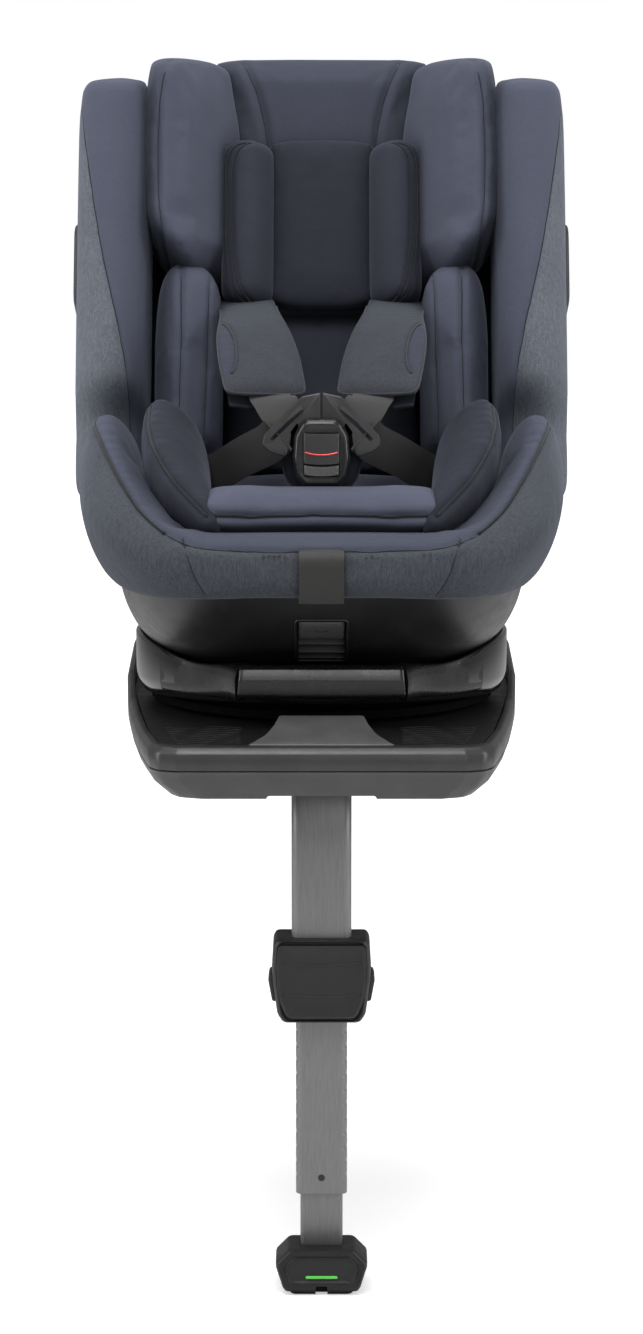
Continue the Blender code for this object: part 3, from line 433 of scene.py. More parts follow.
def mesh_object(name, verts, faces, mat):
    mesh = bpy.data.meshes.new(name)
    mesh.from_pydata([tuple(v) for v in verts], [], faces)
    mesh.update()
    mesh.materials.append(mat)
    obj = link(bpy.data.objects.new(name, mesh))
    mesh.shade_smooth()
    return obj


def fix_normals(obj, weld=True):
    bm = bmesh.new()
    bm.from_mesh(obj.data)
    if weld:
        bmesh.ops.remove_doubles(bm, verts=bm.verts, dist=1e-6)
    bmesh.ops.recalc_face_normals(bm, faces=bm.faces)
    bm.to_mesh(obj.data)
    bm.free()
    obj.data.shade_smooth()
    return obj


def crease(obj, degrees):
    """Smooth shading, with edges sharper than the angle left hard."""
    obj.data.shade_smooth()
    obj.data.set_sharp_from_angle(angle=math.radians(degrees))
    return obj


def apply_mods(obj):
    bpy.context.view_layer.update()
    graph = bpy.context.evaluated_depsgraph_get()
    mesh = bpy.data.meshes.new_from_object(obj.evaluated_get(graph))
    old = obj.data
    obj.modifiers.clear()
    obj.data = mesh
    mesh.name = old.name
    return obj


def subsurf(obj):
    mod = obj.modifiers.new("sub", "SUBSURF")
    mod.levels = mod.render_levels = 1
    return apply_mods(obj)


def bevel(obj, width, segments):
    mod = obj.modifiers.new("bev", "BEVEL")
    mod.width, mod.segments, mod.limit_method = width, segments, "ANGLE"
    mod.angle_limit = math.radians(40)
    mod.use_clamp_overlap = True
    return crease(apply_mods(obj), 50)


def cut(obj, cutter):
    """Takes the cutter out of the object, and deletes it."""
    mod = obj.modifiers.new("b", "BOOLEAN")
    mod.operation, mod.object, mod.solver = "DIFFERENCE", cutter, "EXACT"
    apply_mods(obj)
    bpy.data.objects.remove(cutter, do_unlink=True)


def join(objs, name):
    """Joins meshes into one, keeping their materials."""
    bm = bmesh.new()
    mats = []
    for obj in objs:
        mesh = obj.data.copy()
        mesh.transform(obj.matrix_world)
        remap = []
        for mat in mesh.materials:
            if mat not in mats:
                mats.append(mat)
            remap.append(mats.index(mat))
        for face in mesh.polygons:
            face.material_index = remap[min(face.material_index, len(remap) - 1)]
        bm.from_mesh(mesh)
        bpy.data.meshes.remove(mesh)
    mesh = bpy.data.meshes.new(name)
    bm.to_mesh(mesh)
    bm.free()
    for mat in mats:
        mesh.materials.append(mat)
    joined = link(bpy.data.objects.new(name, mesh))
    for obj in objs:
        bpy.data.objects.remove(obj, do_unlink=True)
    joined.name = name
    return joined


def mirror_x(obj, name):
    mesh = obj.data.copy()
    mesh.transform(Matrix.Diagonal((-1, 1, 1, 1)) @ obj.matrix_world)
    mesh.flip_normals()
    return link(bpy.data.objects.new(name, mesh))


def catmull(pts, per=8, closed=False):
    """Catmull-Rom spline through the points, per steps to a span."""
    pts = np.array([tuple(p) for p in pts], float)
    count = len(pts)
    out = []
    for i in range(count if closed else count - 1):
        if closed:
            p0, p1, p2, p3 = (pts[(i + k) % count] for k in (-1, 0, 1, 2))
        else:
            p1, p2 = pts[i], pts[i + 1]
            p0 = pts[i - 1] if i > 0 else 2 * p1 - p2
            p3 = pts[i + 2] if i + 2 < count else 2 * p2 - p1
        for k in range(per):
            t = k / per
            out.append(0.5 * ((2 * p1) + (-p0 + p2) * t + (2 * p0 - 5 * p1 + 4 * p2 - p3) * t * t
                              + (-p0 + 3 * p1 - 3 * p2 + p3) * t ** 3))
    if not closed:
        out.append(pts[-1])
    return np.array(out)


def travelled(pts):
    """Length along a polyline at each of its points."""
    return np.r_[0, np.cumsum(np.linalg.norm(np.diff(pts, axis=0), axis=1))]


def resample(pts, count, closed=False):
    pts = np.array(pts, float)
    if closed:
        pts = np.vstack([pts, pts[:1]])
    dist = travelled(pts)
    at = np.linspace(0, dist[-1], count + 1)[:-1] if closed else np.linspace(0, dist[-1], count)
    return np.stack([np.interp(at, dist, pts[:, i]) for i in range(pts.shape[1])], 1)


def closed_loop(pts, count=48):
    """Smooth closed outline through points, evenly spaced."""
    return resample(catmull(pts, closed=True), count, True)


def loft(name, rings, mat, closed=True, cap=True, loop=False):
    """Skin over rings of equal length. closed: each ring closes. loop: the last meets the first."""
    grid = np.array([[tuple(p) for p in ring] for ring in rings], float)
    rows, cols = grid.shape[:2]
    verts = grid.reshape(-1, 3).tolist()
    faces = []
    for i in range(rows if loop else rows - 1):
        for j in range(cols if closed else cols - 1):
            here, there, right = i * cols, ((i + 1) % rows) * cols, (j + 1) % cols
            faces.append((here + j, here + right, there + right, there + j))
    if cap and closed and not loop:
        for i in (0, rows - 1):
            middle = len(verts)
            verts.append(grid[i].mean(0).tolist())
            for j in range(cols):
                a, b = i * cols + j, i * cols + (j + 1) % cols
                faces.append((middle, b, a) if i == 0 else (middle, a, b))
    return fix_normals(mesh_object(name, verts, faces, mat))


def rounded(outline, radius=0.0, per=4):
    """Rounds the corners of a closed outline; a point's third value is its own radius."""
    pts = [Vector((*p[:2], 0)) for p in outline]
    out = []
    for i, corner in enumerate(pts):
        back, ahead = (pts[i - 1] - corner), (pts[(i + 1) % len(pts)] - corner)
        back_len, ahead_len = back.length, ahead.length
        back.normalize()
        ahead.normalize()
        own = outline[i][2] if len(outline[i]) > 2 else radius
        reach = min(own / max(math.tan(back.angle(ahead) / 2), 1e-4),
                    back_len * 0.48, ahead_len * 0.48)
        start, end = corner + back * reach, corner + ahead * reach
        for k in range(per + 1):
            t = k / per
            q = start * (1 - t) ** 2 + corner * 2 * t * (1 - t) + end * t * t
            out.append((q.x, q.y))
    return out


def both_halves(half):
    """The right half of an outline, then its mirror image run backwards."""
    return list(half) + [(-p[0], *p[1:]) for p in reversed(half)]


def mirrored(pts):
    return [(-x, z) for x, z in pts]


# How a flat outline (u, v) is set in space, with w square to it.
def along_x(u, v, w):
    return (w, u, v)


def along_y(u, v, w):
    return (u, w, v)


def along_z(u, v, w):
    return (u, v, w)


def plate(name, outline, put, lo, hi, mat, edge=0.0, seg=3, per=4):
    """A flat piece from lo to hi, with its edges bevelled by edge."""
    has_radii = any(len(p) > 2 for p in outline)
    pts = rounded(outline, per=per) if has_radii else outline
    count = len(pts)
    verts = [put(u, v, lo) for u, v in pts] + [put(u, v, hi) for u, v in pts]
    faces = [tuple(range(count)), tuple(range(2 * count - 1, count - 1, -1))]
    for i in range(count):
        after = (i + 1) % count
        faces.append((i, after, count + after, count + i))
    obj = fix_normals(mesh_object(name, verts, faces, mat))
    return bevel(obj, edge, seg) if edge else crease(obj, 40)


def block(name, lo, hi, mat, edge=0.001, put=along_z):
    outline = [(lo[0], lo[1]), (hi[0], lo[1]), (hi[0], hi[1]), (lo[0], hi[1])]
    return plate(name, outline, put, lo[2], hi[2], mat, edge, seg=2)


def stack(outline, centre, stations, put, share=1.0):
    """Rings from one outline, scaled about centre at each (place, scale).

    share is how much of the scaling reaches the outline's second axis.
    """
    outline, centre = np.array(outline), np.array(centre)
    rings = []
    for where, scale in stations:
        scales = np.array([scale, 1 - share + share * scale])
        rings.append([put(u, v, where) for u, v in centre + (outline - centre) * scales])
    return rings


def rod(name, start, end, radius, mat, seg=32, edge=0.0):
    start, end = Vector(start), Vector(end)
    spin = (end - start).to_track_quat("Z", "Y").to_matrix()
    length = (end - start).length
    if edge:
        profile = [(0, radius - edge), (edge * 0.3, radius - edge * 0.3), (edge, radius),
                   (length - edge, radius), (length - edge * 0.3, radius - edge * 0.3),
                   (length, radius - edge)]
    else:
        profile = [(0, radius), (length, radius)]
    angles = [2 * math.pi * i / seg for i in range(seg)]
    rings = [[start + spin @ Vector((r * math.cos(a), r * math.sin(a), h)) for a in angles]
             for h, r in profile]
    return crease(loft(name, rings, mat), 40)


def rounded_rect(half_w, half_d, radius, per=6, cy=0.0):
    pts = []
    for sx, sy, start in ((1, 1, 0), (-1, 1, 90), (-1, -1, 180), (1, -1, 270)):
        for k in range(per + 1):
            t = math.radians(start + 90 * k / per)
            pts.append((sx * (half_w - radius) + radius * math.cos(t),
                        cy + sy * (half_d - radius) + radius * math.sin(t)))
    return pts


def cords(name, paths, radius, mat, closed=False, res=3):
    """Round cords along paths, as one mesh."""
    curve = bpy.data.curves.new(name, "CURVE")
    curve.dimensions = "3D"
    curve.bevel_depth = radius
    curve.bevel_resolution = res
    curve.use_fill_caps = True
    for path in paths:
        spline = curve.splines.new("POLY")
        spline.points.add(len(path) - 1)
        for point, place_at in zip(spline.points, path):
            point.co = (*place_at, 1)
        spline.use_cyclic_u = closed
    curve.materials.append(mat)
    obj = link(bpy.data.objects.new(name, curve))
    graph = bpy.context.evaluated_depsgraph_get()
    mesh = bpy.data.meshes.new_from_object(obj.evaluated_get(graph))
    bpy.data.objects.remove(obj, do_unlink=True)
    return fix_normals(link(bpy.data.objects.new(name, mesh)))


def ribbon(name, path, across, width, mat, thick, seg=6, per=6):
    """Webbing along path; across is its width direction, one or one per point. UVs in metres."""
    pts = catmull(path, per)
    count = len(pts)
    if isinstance(across, list):
        sides = catmull(across, per)
    else:
        sides = np.tile(np.array(tuple(across), float), (count, 1))
    profile = []
    for sign in (1, -1):
        row = [(u, sign * thick / 2 * (1 - 0.75 * abs(2 * u / width) ** 10))
               for u in np.linspace(-width / 2, width / 2, seg + 1)]
        profile += row if sign == 1 else row[::-1]
    verts, uvs = [], []
    length = 0.0
    for i in range(count):
        forward = pts[min(count - 1, i + 1)] - pts[max(0, i - 1)]
        forward /= np.linalg.norm(forward)
        if i:
            length += np.linalg.norm(pts[i] - pts[i - 1])
        side = sides[i] - forward * (sides[i] @ forward)
        side /= np.linalg.norm(side)
        up = np.cross(forward, side)
        for u, h in profile:
            verts.append(pts[i] + side * u + up * h)
            uvs.append((u, length))
    ring = len(profile)
    faces = []
    for i in range(count - 1):
        here, there = i * ring, (i + 1) * ring
        for j in range(ring):
            after = (j + 1) % ring
            faces.append((here + j, here + after, there + after, there + j))
    faces.append(tuple(range(ring - 1, -1, -1)))
    faces.append(tuple((count - 1) * ring + j for j in range(ring)))
    obj = mesh_object(name, verts, faces, mat)
    layer = obj.data.uv_layers.new(name="UVMap")
    for corner in obj.data.loops:
        layer.data[corner.index].uv = uvs[corner.vertex_index]
    return crease(fix_normals(obj, weld=False), 50)


# ------------------------------------------------------------------ reading and moving vertices
def read_vertices(obj, what):
    values = np.empty(len(obj.data.vertices) * 3, np.float32)
    obj.data.vertices.foreach_get(what, values)
    return values.reshape(-1, 3).astype(float)


def coords(obj):
    return read_vertices(obj, "co")


def set_coords(obj, points):
    obj.data.vertices.foreach_set("co", points.astype(np.float32).ravel())
    obj.data.update()


def set_zone(obj, values):
    """The attribute that tells the two cloths apart."""
    attribute = obj.data.attributes.new("zone", "FLOAT", "POINT")
    attribute.data.foreach_set("value", np.asarray(values, np.float32))


def eye_plane(points):
    """Where each point is seen on the plane y = 0."""
    eye = np.array(EYE)
    t = (0 - eye[1]) / (points[:, 1] - eye[1])
    seen = eye + (points - eye) * t[:, None]
    return seen[:, 0], seen[:, 2]


def level_top(obj, limit, softness):
    """Draws the top edge in towards one line, as seen from the eye."""
    points = coords(obj)
    over = np.clip(eye_plane(points)[1] - limit, 0, None)
    points[:, 2] -= over - softness * (1 - np.exp(-over / softness))
    set_coords(obj, points)


def relax(obj, factor, times):
    mod = obj.modifiers.new("s", "SMOOTH")
    mod.factor, mod.iterations = factor, times
    apply_mods(obj)


CLOTH_FRAMES = 20


def inflate(obj, pressure, reach, pin):
    """Cloth with inside pressure; no vertex moves further than reach."""
    rest = coords(obj)
    if pin is not None:
        group = obj.vertex_groups.new(name="pin")
        weights = np.clip(pin(rest), 0, 1)
        for i in np.nonzero(weights > 0.01)[0]:
            group.add([int(i)], float(weights[i]), "REPLACE")
    cloth = obj.modifiers.new("cloth", "CLOTH")
    settings = cloth.settings
    settings.quality = 4
    settings.mass = 0.25
    settings.use_pressure = True
    settings.uniform_pressure_force = pressure
    settings.tension_stiffness = settings.compression_stiffness = 12
    settings.shear_stiffness = 6
    settings.bending_stiffness = 0.6
    settings.effector_weights.gravity = 0
    if pin is not None:
        settings.vertex_group_mass = "pin"
    cloth.collision_settings.use_collision = False
    cloth.point_cache.frame_start, cloth.point_cache.frame_end = 1, CLOTH_FRAMES
    for number in range(1, CLOTH_FRAMES + 1):
        SCENE.frame_set(number)
    graph = bpy.context.evaluated_depsgraph_get()
    filled = obj.evaluated_get(graph).to_mesh()
    moved = np.empty(len(filled.vertices) * 3, np.float32)
    filled.vertices.foreach_get("co", moved)
    moved = moved.reshape(-1, 3).astype(float)
    obj.evaluated_get(graph).to_mesh_clear()
    obj.modifiers.clear()
    obj.vertex_groups.clear()
    move = moved - rest
    length = np.linalg.norm(move, axis=1)
    move *= np.minimum(1.0, reach / np.maximum(length, 1e-9))[:, None]
    set_coords(obj, rest + move)
    SCENE.frame_set(1)
    relax(obj, factor=0.4, times=2)


def puff(obj, voxel, pressure, reach, pin=None, smooth=3):
    """Fills a cover: voxel remesh, smoothing, cloth under pressure, one subdivision.

    pin(points) gives how strongly each point is held, 0 free to 1 fixed.
    """
    mats = list(obj.data.materials)
    mod = obj.modifiers.new("r", "REMESH")
    mod.mode = "VOXEL"
    mod.voxel_size = voxel
    mod.use_smooth_shade = True
    apply_mods(obj)
    relax(obj, factor=0.5, times=smooth)
    inflate(obj, pressure, reach, pin)
    subsurf(obj)
    obj.data.materials.clear()
    for mat in mats:
        obj.data.materials.append(mat)
    obj.data.shade_smooth()
    return obj


def hold_back(limit, band=0.02):
    """Pins whatever lies behind n = limit on the backrest."""
    def pin(points):
        return 1 - ease(limit, limit + band, to_back(points)[2])
    return pin


# ------------------------------------------------------------------ sewing
# A sewn path is a pair of arrays: its points on a surface and the normals there.
def bvh(obj):
    bpy.context.view_layer.update()
    return BVHTree.FromObject(obj, bpy.context.evaluated_depsgraph_get())


def even(path, spacing):
    """Spline through a path, resampled at about the given spacing."""
    pts = catmull(path, 6)
    length = np.linalg.norm(np.diff(pts, axis=0), axis=1).sum()
    return resample(pts, max(4, int(length / spacing)))


def smooth_path(points, normals, rounds=3):
    P = np.array([tuple(p) for p in points])
    N = np.array([tuple(p) for p in normals])
    for _ in range(rounds):
        P[1:-1] = (P[:-2] + 2 * P[1:-1] + P[2:]) / 4
        N[1:-1] = (N[:-2] + 2 * N[1:-1] + N[2:]) / 4
    N /= np.linalg.norm(N, axis=1)[:, None] + 1e-9
    return P, N


def drape(obj, eye_paths):
    """Lays paths of the plane y = 0, as seen from the eye, onto the object."""
    tree = bvh(obj)
    out = []
    for path in eye_paths:
        pts, normals = [], []
        for x, z in even(path, 0.003):
            hit = tree.ray_cast(EYE, (Vector((x, 0, z)) - EYE).normalized())
            if hit[0] is not None:
                pts.append(hit[0])
                normals.append(hit[1])
        if len(pts) > 3:
            out.append(smooth_path(pts, normals))
    return out


def snap(tree, points, rounds=3):
    """Moves points to the nearest places on a surface, as a sewn path."""
    hits = [tree.find_nearest(Vector(p)) for p in points]
    return smooth_path([hit[0] for hit in hits], [hit[1] for hit in hits], rounds)


def snap_paths(obj, paths, spacing=0.003):
    tree = bvh(obj)
    return [snap(tree, even(path, spacing)) for path in paths]


def lifted(paths, height):
    return [points + normals * height for points, normals in paths]


def flip_paths(paths):
    return [(points * (-1, 1, 1), normals * (-1, 1, 1)) for points, normals in paths]


def path_distance(points, path):
    """Distance of each point to a polyline; far points keep a large number."""
    path = np.array([tuple(p) for p in path], float)
    best = np.full(len(points), 1e9)
    lo, hi = path.min(0) - 0.03, path.max(0) + 0.03
    index = np.nonzero(np.all((points > lo) & (points < hi), axis=1))[0]
    close = points[index]
    dist = best[index]
    for start, end in zip(path[:-1], path[1:]):
        span = end - start
        t = np.clip(((close - start) @ span) / max(span @ span, 1e-12), 0, 1)
        dist = np.minimum(dist, np.linalg.norm(close - (start + t[:, None] * span), axis=1))
    best[index] = dist
    return best


def groove(obj, paths, width, depth):
    """A sewn channel: the cloth dips at the seam and swells a little beside it."""
    points, normals = coords(obj), read_vertices(obj, "normal")
    dist = np.full(len(points), 1e9)
    for path in paths:
        dist = np.minimum(dist, path_distance(points, path))
    dip = -depth * np.exp(-(dist / width) ** 2)
    swell = 0.25 * depth * np.exp(-((dist - 2.6 * width) / (1.3 * width)) ** 2)
    set_coords(obj, points + normals * (dip + swell)[:, None])


STITCH_PITCH, STITCH_LENGTH = 0.0042, 0.0028
STITCH_RADIUS, STITCH_LIFT = 0.00032, 0.0002


def stitches(name, paths, offset):
    """Short raised thread stitches beside sewn paths, six-sided and pointed at both ends."""
    verts, faces = [], []
    for points, normals in paths:
        dist = travelled(points)

        def at(where, values):
            return np.array([np.interp(where, dist, values[:, i]) for i in range(3)])

        t = 0.002
        while t + STITCH_LENGTH < dist[-1]:
            start, end = at(t, points), at(t + STITCH_LENGTH, points)
            up = at(t + STITCH_LENGTH / 2, normals)
            up /= np.linalg.norm(up) + 1e-9
            forward = (end - start) / (np.linalg.norm(end - start) + 1e-9)
            side = np.cross(forward, up)
            start = start + side * offset + up * STITCH_LIFT
            end = end + side * offset + up * STITCH_LIFT
            middle = (start + end) / 2 + up * STITCH_RADIUS * 0.9
            base = len(verts)
            for centre, r in ((start, STITCH_RADIUS * 0.5), (middle, STITCH_RADIUS),
                              (end, STITCH_RADIUS * 0.5)):
                for k in range(6):
                    a = 2 * math.pi * k / 6
                    verts.append(centre + side * r * math.cos(a) + up * r * math.sin(a))
            for q in (base, base + 6):
                for k in range(6):
                    after = (k + 1) % 6
                    faces.append((q + k, q + after, q + 6 + after, q + 6 + k))
            faces.append(tuple(base + k for k in range(5, -1, -1)))
            faces.append(tuple(base + 12 + k for k in range(6)))
            t += STITCH_PITCH
    return mesh_object(name, verts, faces, THREAD)


def dress(name, obj, body, piping=(), seams=(), top=(), pipe_r=0.0012, depth=0.0018,
          width=0.0028, stitch_off=(), slot_name="navy_knit"):
    """Sews an object: sunk seams, cords on the piping paths, thread beside the top paths."""
    groove(obj, [points for points, _ in list(piping) + list(seams)], width, depth)
    tree = bvh(obj)

    def resnap(paths):
        return [snap(tree, points, rounds=2) for points, _ in paths]

    made = []
    if piping:
        cord = lifted(resnap(piping), pipe_r * 0.45)
        made.append(cords(name + "_piping", cord, pipe_r, PIPING))
    if seams:
        cord = lifted(resnap(seams), -0.0001)
        made.append(cords(name + "_seam", cord, 0.00055, PIPING, res=1))
    if top:
        paths = resnap(top)
        for k, offset in enumerate(stitch_off):
            made.append(stitches(name + "_stitch" + (str(k) if k else ""), paths, offset))
    for piece in made:
        place(piece, body, slot_name)


def finish_pair(right, left, body, slot_name, node, trim, piping=(), seams=(), stitch=None,
                **sewing):
    """Places a mirrored pair and sews both; stitch is the thread's distance inside the paths."""
    for side, obj, sign in (("right", right, -1), ("left", left, 1)):
        if side == "left":
            piping, seams = flip_paths(piping), flip_paths(seams)
        place(obj, body, slot_name, *([node + side] if node else []))
        if stitch:
            sewing.update(top=[*piping, *seams], stitch_off=(sign * stitch,))
        dress(trim % side, obj, body, piping, seams, **sewing)


# ================================================================== BASE
# Right halves of the base outline, front to rear: x, y, corner radius.
OUTER_HALF = [
    (0.118, -0.27, 0.01), (0.134, -0.264, 0.012), (0.142, -0.25, 0.03), (0.1535, -0.18, 0.05),
    (0.163, -0.1, 0.08), (0.1695, -0.03, 0.08), (0.173, 0.03, 0.06), (0.176, 0.2, 0.05),
    (0.1735, 0.23, 0.02), (0.15, 0.25, 0.012)]
INNER_HALF = [
    (0.113, -0.2525, 0.01), (0.1262, -0.2485, 0.01), (0.133, -0.24, 0.02), (0.1448, -0.18, 0.05),
    (0.1543, -0.1, 0.08), (0.1612, -0.03, 0.08), (0.1675, 0.028, 0.05), (0.1705, 0.2, 0.04),
    (0.1675, 0.227, 0.015), (0.148, 0.2405, 0.01)]


def inset(half, side, front, rear):
    """Both halves of a base outline, drawn in at the sides, the front and the rear."""
    return both_halves([(x - side, y + (front if y < -0.2 else 0) - (rear if y > 0.2 else 0), r)
                        for x, y, r in half])


def base_ring(half, side, front, rear, z):
    return [(x, y, z) for x, y in rounded(inset(half, side, front, rear), per=5)]


def lip(y):
    """Height of the fascia's lip: it rises from the front into the side rails."""
    return 0.044 + 0.02 * ease(-0.045, 0.055, y) * (1 - ease(0.233, 0.2445, y))


def lip_ring(half, side, front, rear, drop):
    return [(x, y, lip(y) - drop) for x, y, _ in base_ring(half, side, front, rear, 0.0)]


# lower shell: tapering tub with the leg channel, front notch and two rear ports
LOWER_RINGS = [     # inset at the sides, front and rear, z
    (0.0205, 0.0125, 0.008, 0.0), (0.0185, 0.0105, 0.0065, 0.0006), (0.0165, 0.009, 0.005, 0.0026),
    (0.0062, 0.0032, 0.001, 0.0125), (0.0026, 0.002, 0.0005, 0.019), (0.0014, 0.0012, 0.0, 0.0236),
    (0.0024, 0.0022, 0.001, 0.0245)]
LEG_CHANNEL = [(-0.236, -0.02), (-0.236, 0.024), (-0.165, 0.024), (-0.055, 0.01), (-0.012, 0.01),
               (-0.012, -0.02)]
FRONT_NOTCH = [(-0.0475, -0.02), (-0.0445, 0.0032, 0.003), (0.0445, 0.0032, 0.003),
               (0.0475, -0.02)]
lower = loft("base_lower", [base_ring(OUTER_HALF, *row) for row in LOWER_RINGS], BASE_GREY)
cut(lower, plate("cut", LEG_CHANNEL, along_x, -0.053, 0.053, BASE_GREY))
cut(lower, plate("cut", FRONT_NOTCH, along_y, -0.3, -0.225, BASE_GREY))
for sign in (-1, 1):
    cut(lower, block("cut", (sign * 0.14 - 0.0115, 0.2, 0.0105),
                     (sign * 0.14 + 0.0115, 0.3, 0.0263), BASE_GREY, 0))
crease(lower, 38)
place(lower, "base", "grey_plastic", "base_lower_shell")

# upper shell: a fascia that turns over a chamfered lip
WALL_RINGS = [      # insets, z
    (0.003, 0.003, 0.001, 0.0249), (0.0012, 0.001, 0.0, 0.0252), (0.0004, 0.0003, 0.0, 0.03)]
LIP_OUTER = [       # insets, drop below the lip
    (0.0003, 0.0003, 0.0003, 0.006), (0.0008, 0.0014, 0.0008, 0.0042),
    (0.0022, 0.0042, 0.0022, 0.001), (0.003, 0.0056, 0.0028, 0.0001), (0.0036, 0.0072, 0.0032, 0)]
LIP_INNER = [(-0.0006, -0.002, -0.001, 0), (0.0, -0.0008, 0, 0.0006), (0.0003, 0.0, 0, 0.0016)]
WALL_INNER = [(0.0003, 0.0, 0, 0.0375), (0.0, 0.0, 0, 0.03)]
rings = [base_ring(OUTER_HALF, *row) for row in WALL_RINGS]
rings += [lip_ring(OUTER_HALF, *row) for row in LIP_OUTER]
rings += [lip_ring(INNER_HALF, *row) for row in LIP_INNER]
rings += [base_ring(INNER_HALF, *row) for row in WALL_INNER]
upper = crease(loft("base_fascia", rings, FASCIA_GREY_SHADED, cap=False, loop=True), 55)
place(upper, "base", "grey_plastic", "base_upper_shell")

# raised centre plate
CENTRE_STATIONS = [     # y, half width, top z
    (-0.255, 0.06, 0.0436), (-0.2536, 0.0585, 0.0448), (-0.25, 0.055, 0.046),
    (-0.244, 0.0515, 0.0473), (-0.237, 0.0468, 0.0488), (-0.23, 0.0436, 0.0503),
    (-0.21, 0.0376, 0.0545), (-0.196, 0.0352, 0.0572), (-0.1915, 0.0346, 0.0576),
    (-0.188, 0.0342, 0.0568), (-0.184, 0.034, 0.052), (-0.181, 0.034, 0.04)]
CENTRE_FOOT_Z = 0.0405
rings = []
for y, half, z in CENTRE_STATIONS:
    skirt = max(0.0005, (z - CENTRE_FOOT_Z) * 0.55)
    right = [(half - 0.0014, z), (half + 0.0004, z - 0.0004), (half + 0.0012, z - 0.0016),
             (half + skirt, CENTRE_FOOT_Z)]
    top = [(u * (half - 0.0014), z) for u in (-0.6, -0.2, 0.2, 0.6)]
    rings.append([(x, y, h) for x, h in mirrored(right[::-1]) + top + right])
centre = loft("base_centre_plate", rings, PLATE_GREY_LIT)
place(centre, "base", "grey_plastic")

deck = plate("base_deck", inset(INNER_HALF, 0.0012, 0.0012, 0.0012), along_z, 0.0385, 0.0425,
             DECK_BLACK, per=5)
cut(deck, rod("cut", (0, 0, 0), (0, 0, 0.1), 0.1235, DECK_BLACK, 96))
crease(deck, 30)
place(deck, "base", "deck_black", "base_deck_panel")

# wavy ribs on the deck, either side of the centre plate
paths = []
for sign in (-1, 1):
    for i in range(11):
        y = -0.24 + i * 0.0078
        paths.append([(sign * (0.066 + u * (0.052 + 0.0012 * i)),
                       y + 0.0034 * math.sin(u * 2.6 * math.pi + 0.5 * i) - 0.004 * u, 0.0427)
                      for u in np.linspace(0, 1, 26)])
place(cords("deck_grip_ribs", paths, 0.0005, DECK_BLACK, res=2), "base", "deck_black")


# ================================================================== TURNTABLE
# The tub is round about an axis along x: its radius at each x.
TUB = catmull([(0.176, 0.16), (0.176, 0.178), (0.1735, 0.2), (0.167, 0.222), (0.154, 0.243),
               (0.131, 0.262), (0.098, 0.276), (0.052, 0.284), (0.0, 0.285), (-0.052, 0.284)], 12)
TUB_X, TUB_R = TUB[TUB[:, 0] >= -0.01][::-1].T


def tub_r(x):
    return float(np.interp(abs(x), TUB_X, TUB_R))


def tub_y(x, z, grow=0.0):
    """Depth of the tub's surface at x and z, grown outwards."""
    r = tub_r(x) + grow
    return math.sqrt(max(0.0, r * r - (TUB_AXIS_Z - z) ** 2))


def plan_r(phi, z, grow):
    """Plan distance from the swivel axis to the tub wall in direction phi, at height z."""
    lo, hi = 0.02, 0.3
    for _ in range(30):
        t = (lo + hi) / 2
        x, y = t * math.sin(phi), t * math.cos(phi)
        reach = (tub_r(x) + grow) ** 2
        inside = abs(x) < 0.1775 and y * y + (TUB_AXIS_Z - z) ** 2 < reach
        lo, hi = (t, hi) if inside else (lo, t)
    return lo


# Cradle wall height by degrees from the front: it drops towards the handle.
WALL_ANGLES = [0, 24, 32, 38, 45, 52, 60, 68, 75, 90, 180]
WALL_HEIGHTS = [0.0842, 0.0846, 0.0856, 0.0872, 0.0898, 0.0928, 0.0964, 0.0996, 0.1018, 0.1036,
                0.104]
CRADLE_R = 0.163
CRADLE_STEPS = 240


def wall_height(angle):
    return float(np.interp(angle, WALL_ANGLES, WALL_HEIGHTS))


def front_rise(angle):
    """How far the cradle's lower edge lifts towards the front."""
    return 0.0062 * (1 - ease(15, 80, angle))


band, floor = [], []
for i in range(CRADLE_STEPS):
    phi = 2 * math.pi * i / CRADLE_STEPS           # 0 is the front
    angle = math.degrees(abs((phi + math.pi) % (2 * math.pi) - math.pi))
    wall = wall_height(angle)
    scoop = 1 - ease(30, 62, angle)
    top = wall + 0.002
    low = 0.054 + front_rise(angle)
    rim = CRADLE_R - 0.0022 - 0.0016 * scoop
    inner = min(rim - 0.005, plan_r(phi, top, 0.0016))
    profile = [
        (0.15, low), (0.156, low), (0.1578, low + 0.0006), (0.159, low + 0.0022),
        (0.1618, low + 0.009), (CRADLE_R - 0.0002, low + 0.014), (CRADLE_R, wall - 0.0012),
        (CRADLE_R - 0.0002, wall - 0.0003), (CRADLE_R - 0.0008, wall + 0.0004),
        (rim * 0.45 + CRADLE_R * 0.55 - 0.0016 * scoop, top * 0.4 + wall * 0.6 - 0.001 * scoop),
        (rim + 0.0004, top - 0.0006), (rim - 0.0004, top - 0.0001), (rim - 0.0014, top - 0.0001),
        (inner, top - 0.0036), (inner - 0.012, top - 0.012)]
    floor_profile = [(0.15, 0.0541 + front_rise(angle)), (0.144, 0.0541), (0.0595, 0.0541)]
    band.append([(r * math.sin(phi), -r * math.cos(phi), z) for r, z in profile])
    floor.append([(r * math.sin(phi), -r * math.cos(phi), z) for r, z in floor_profile])
cradle = crease(loft("cradle_band", list(zip(*band)), GLOSS, cap=False), 40)
place(cradle, "turntable", "black_plastic")
# the floor ring is near black: painted shade under the tub
floor_ring = loft("cradle_floor", list(zip(*floor)), SHADOW_BLACK, cap=False)
place(floor_ring, "turntable", "black_plastic", "recline_cradle")

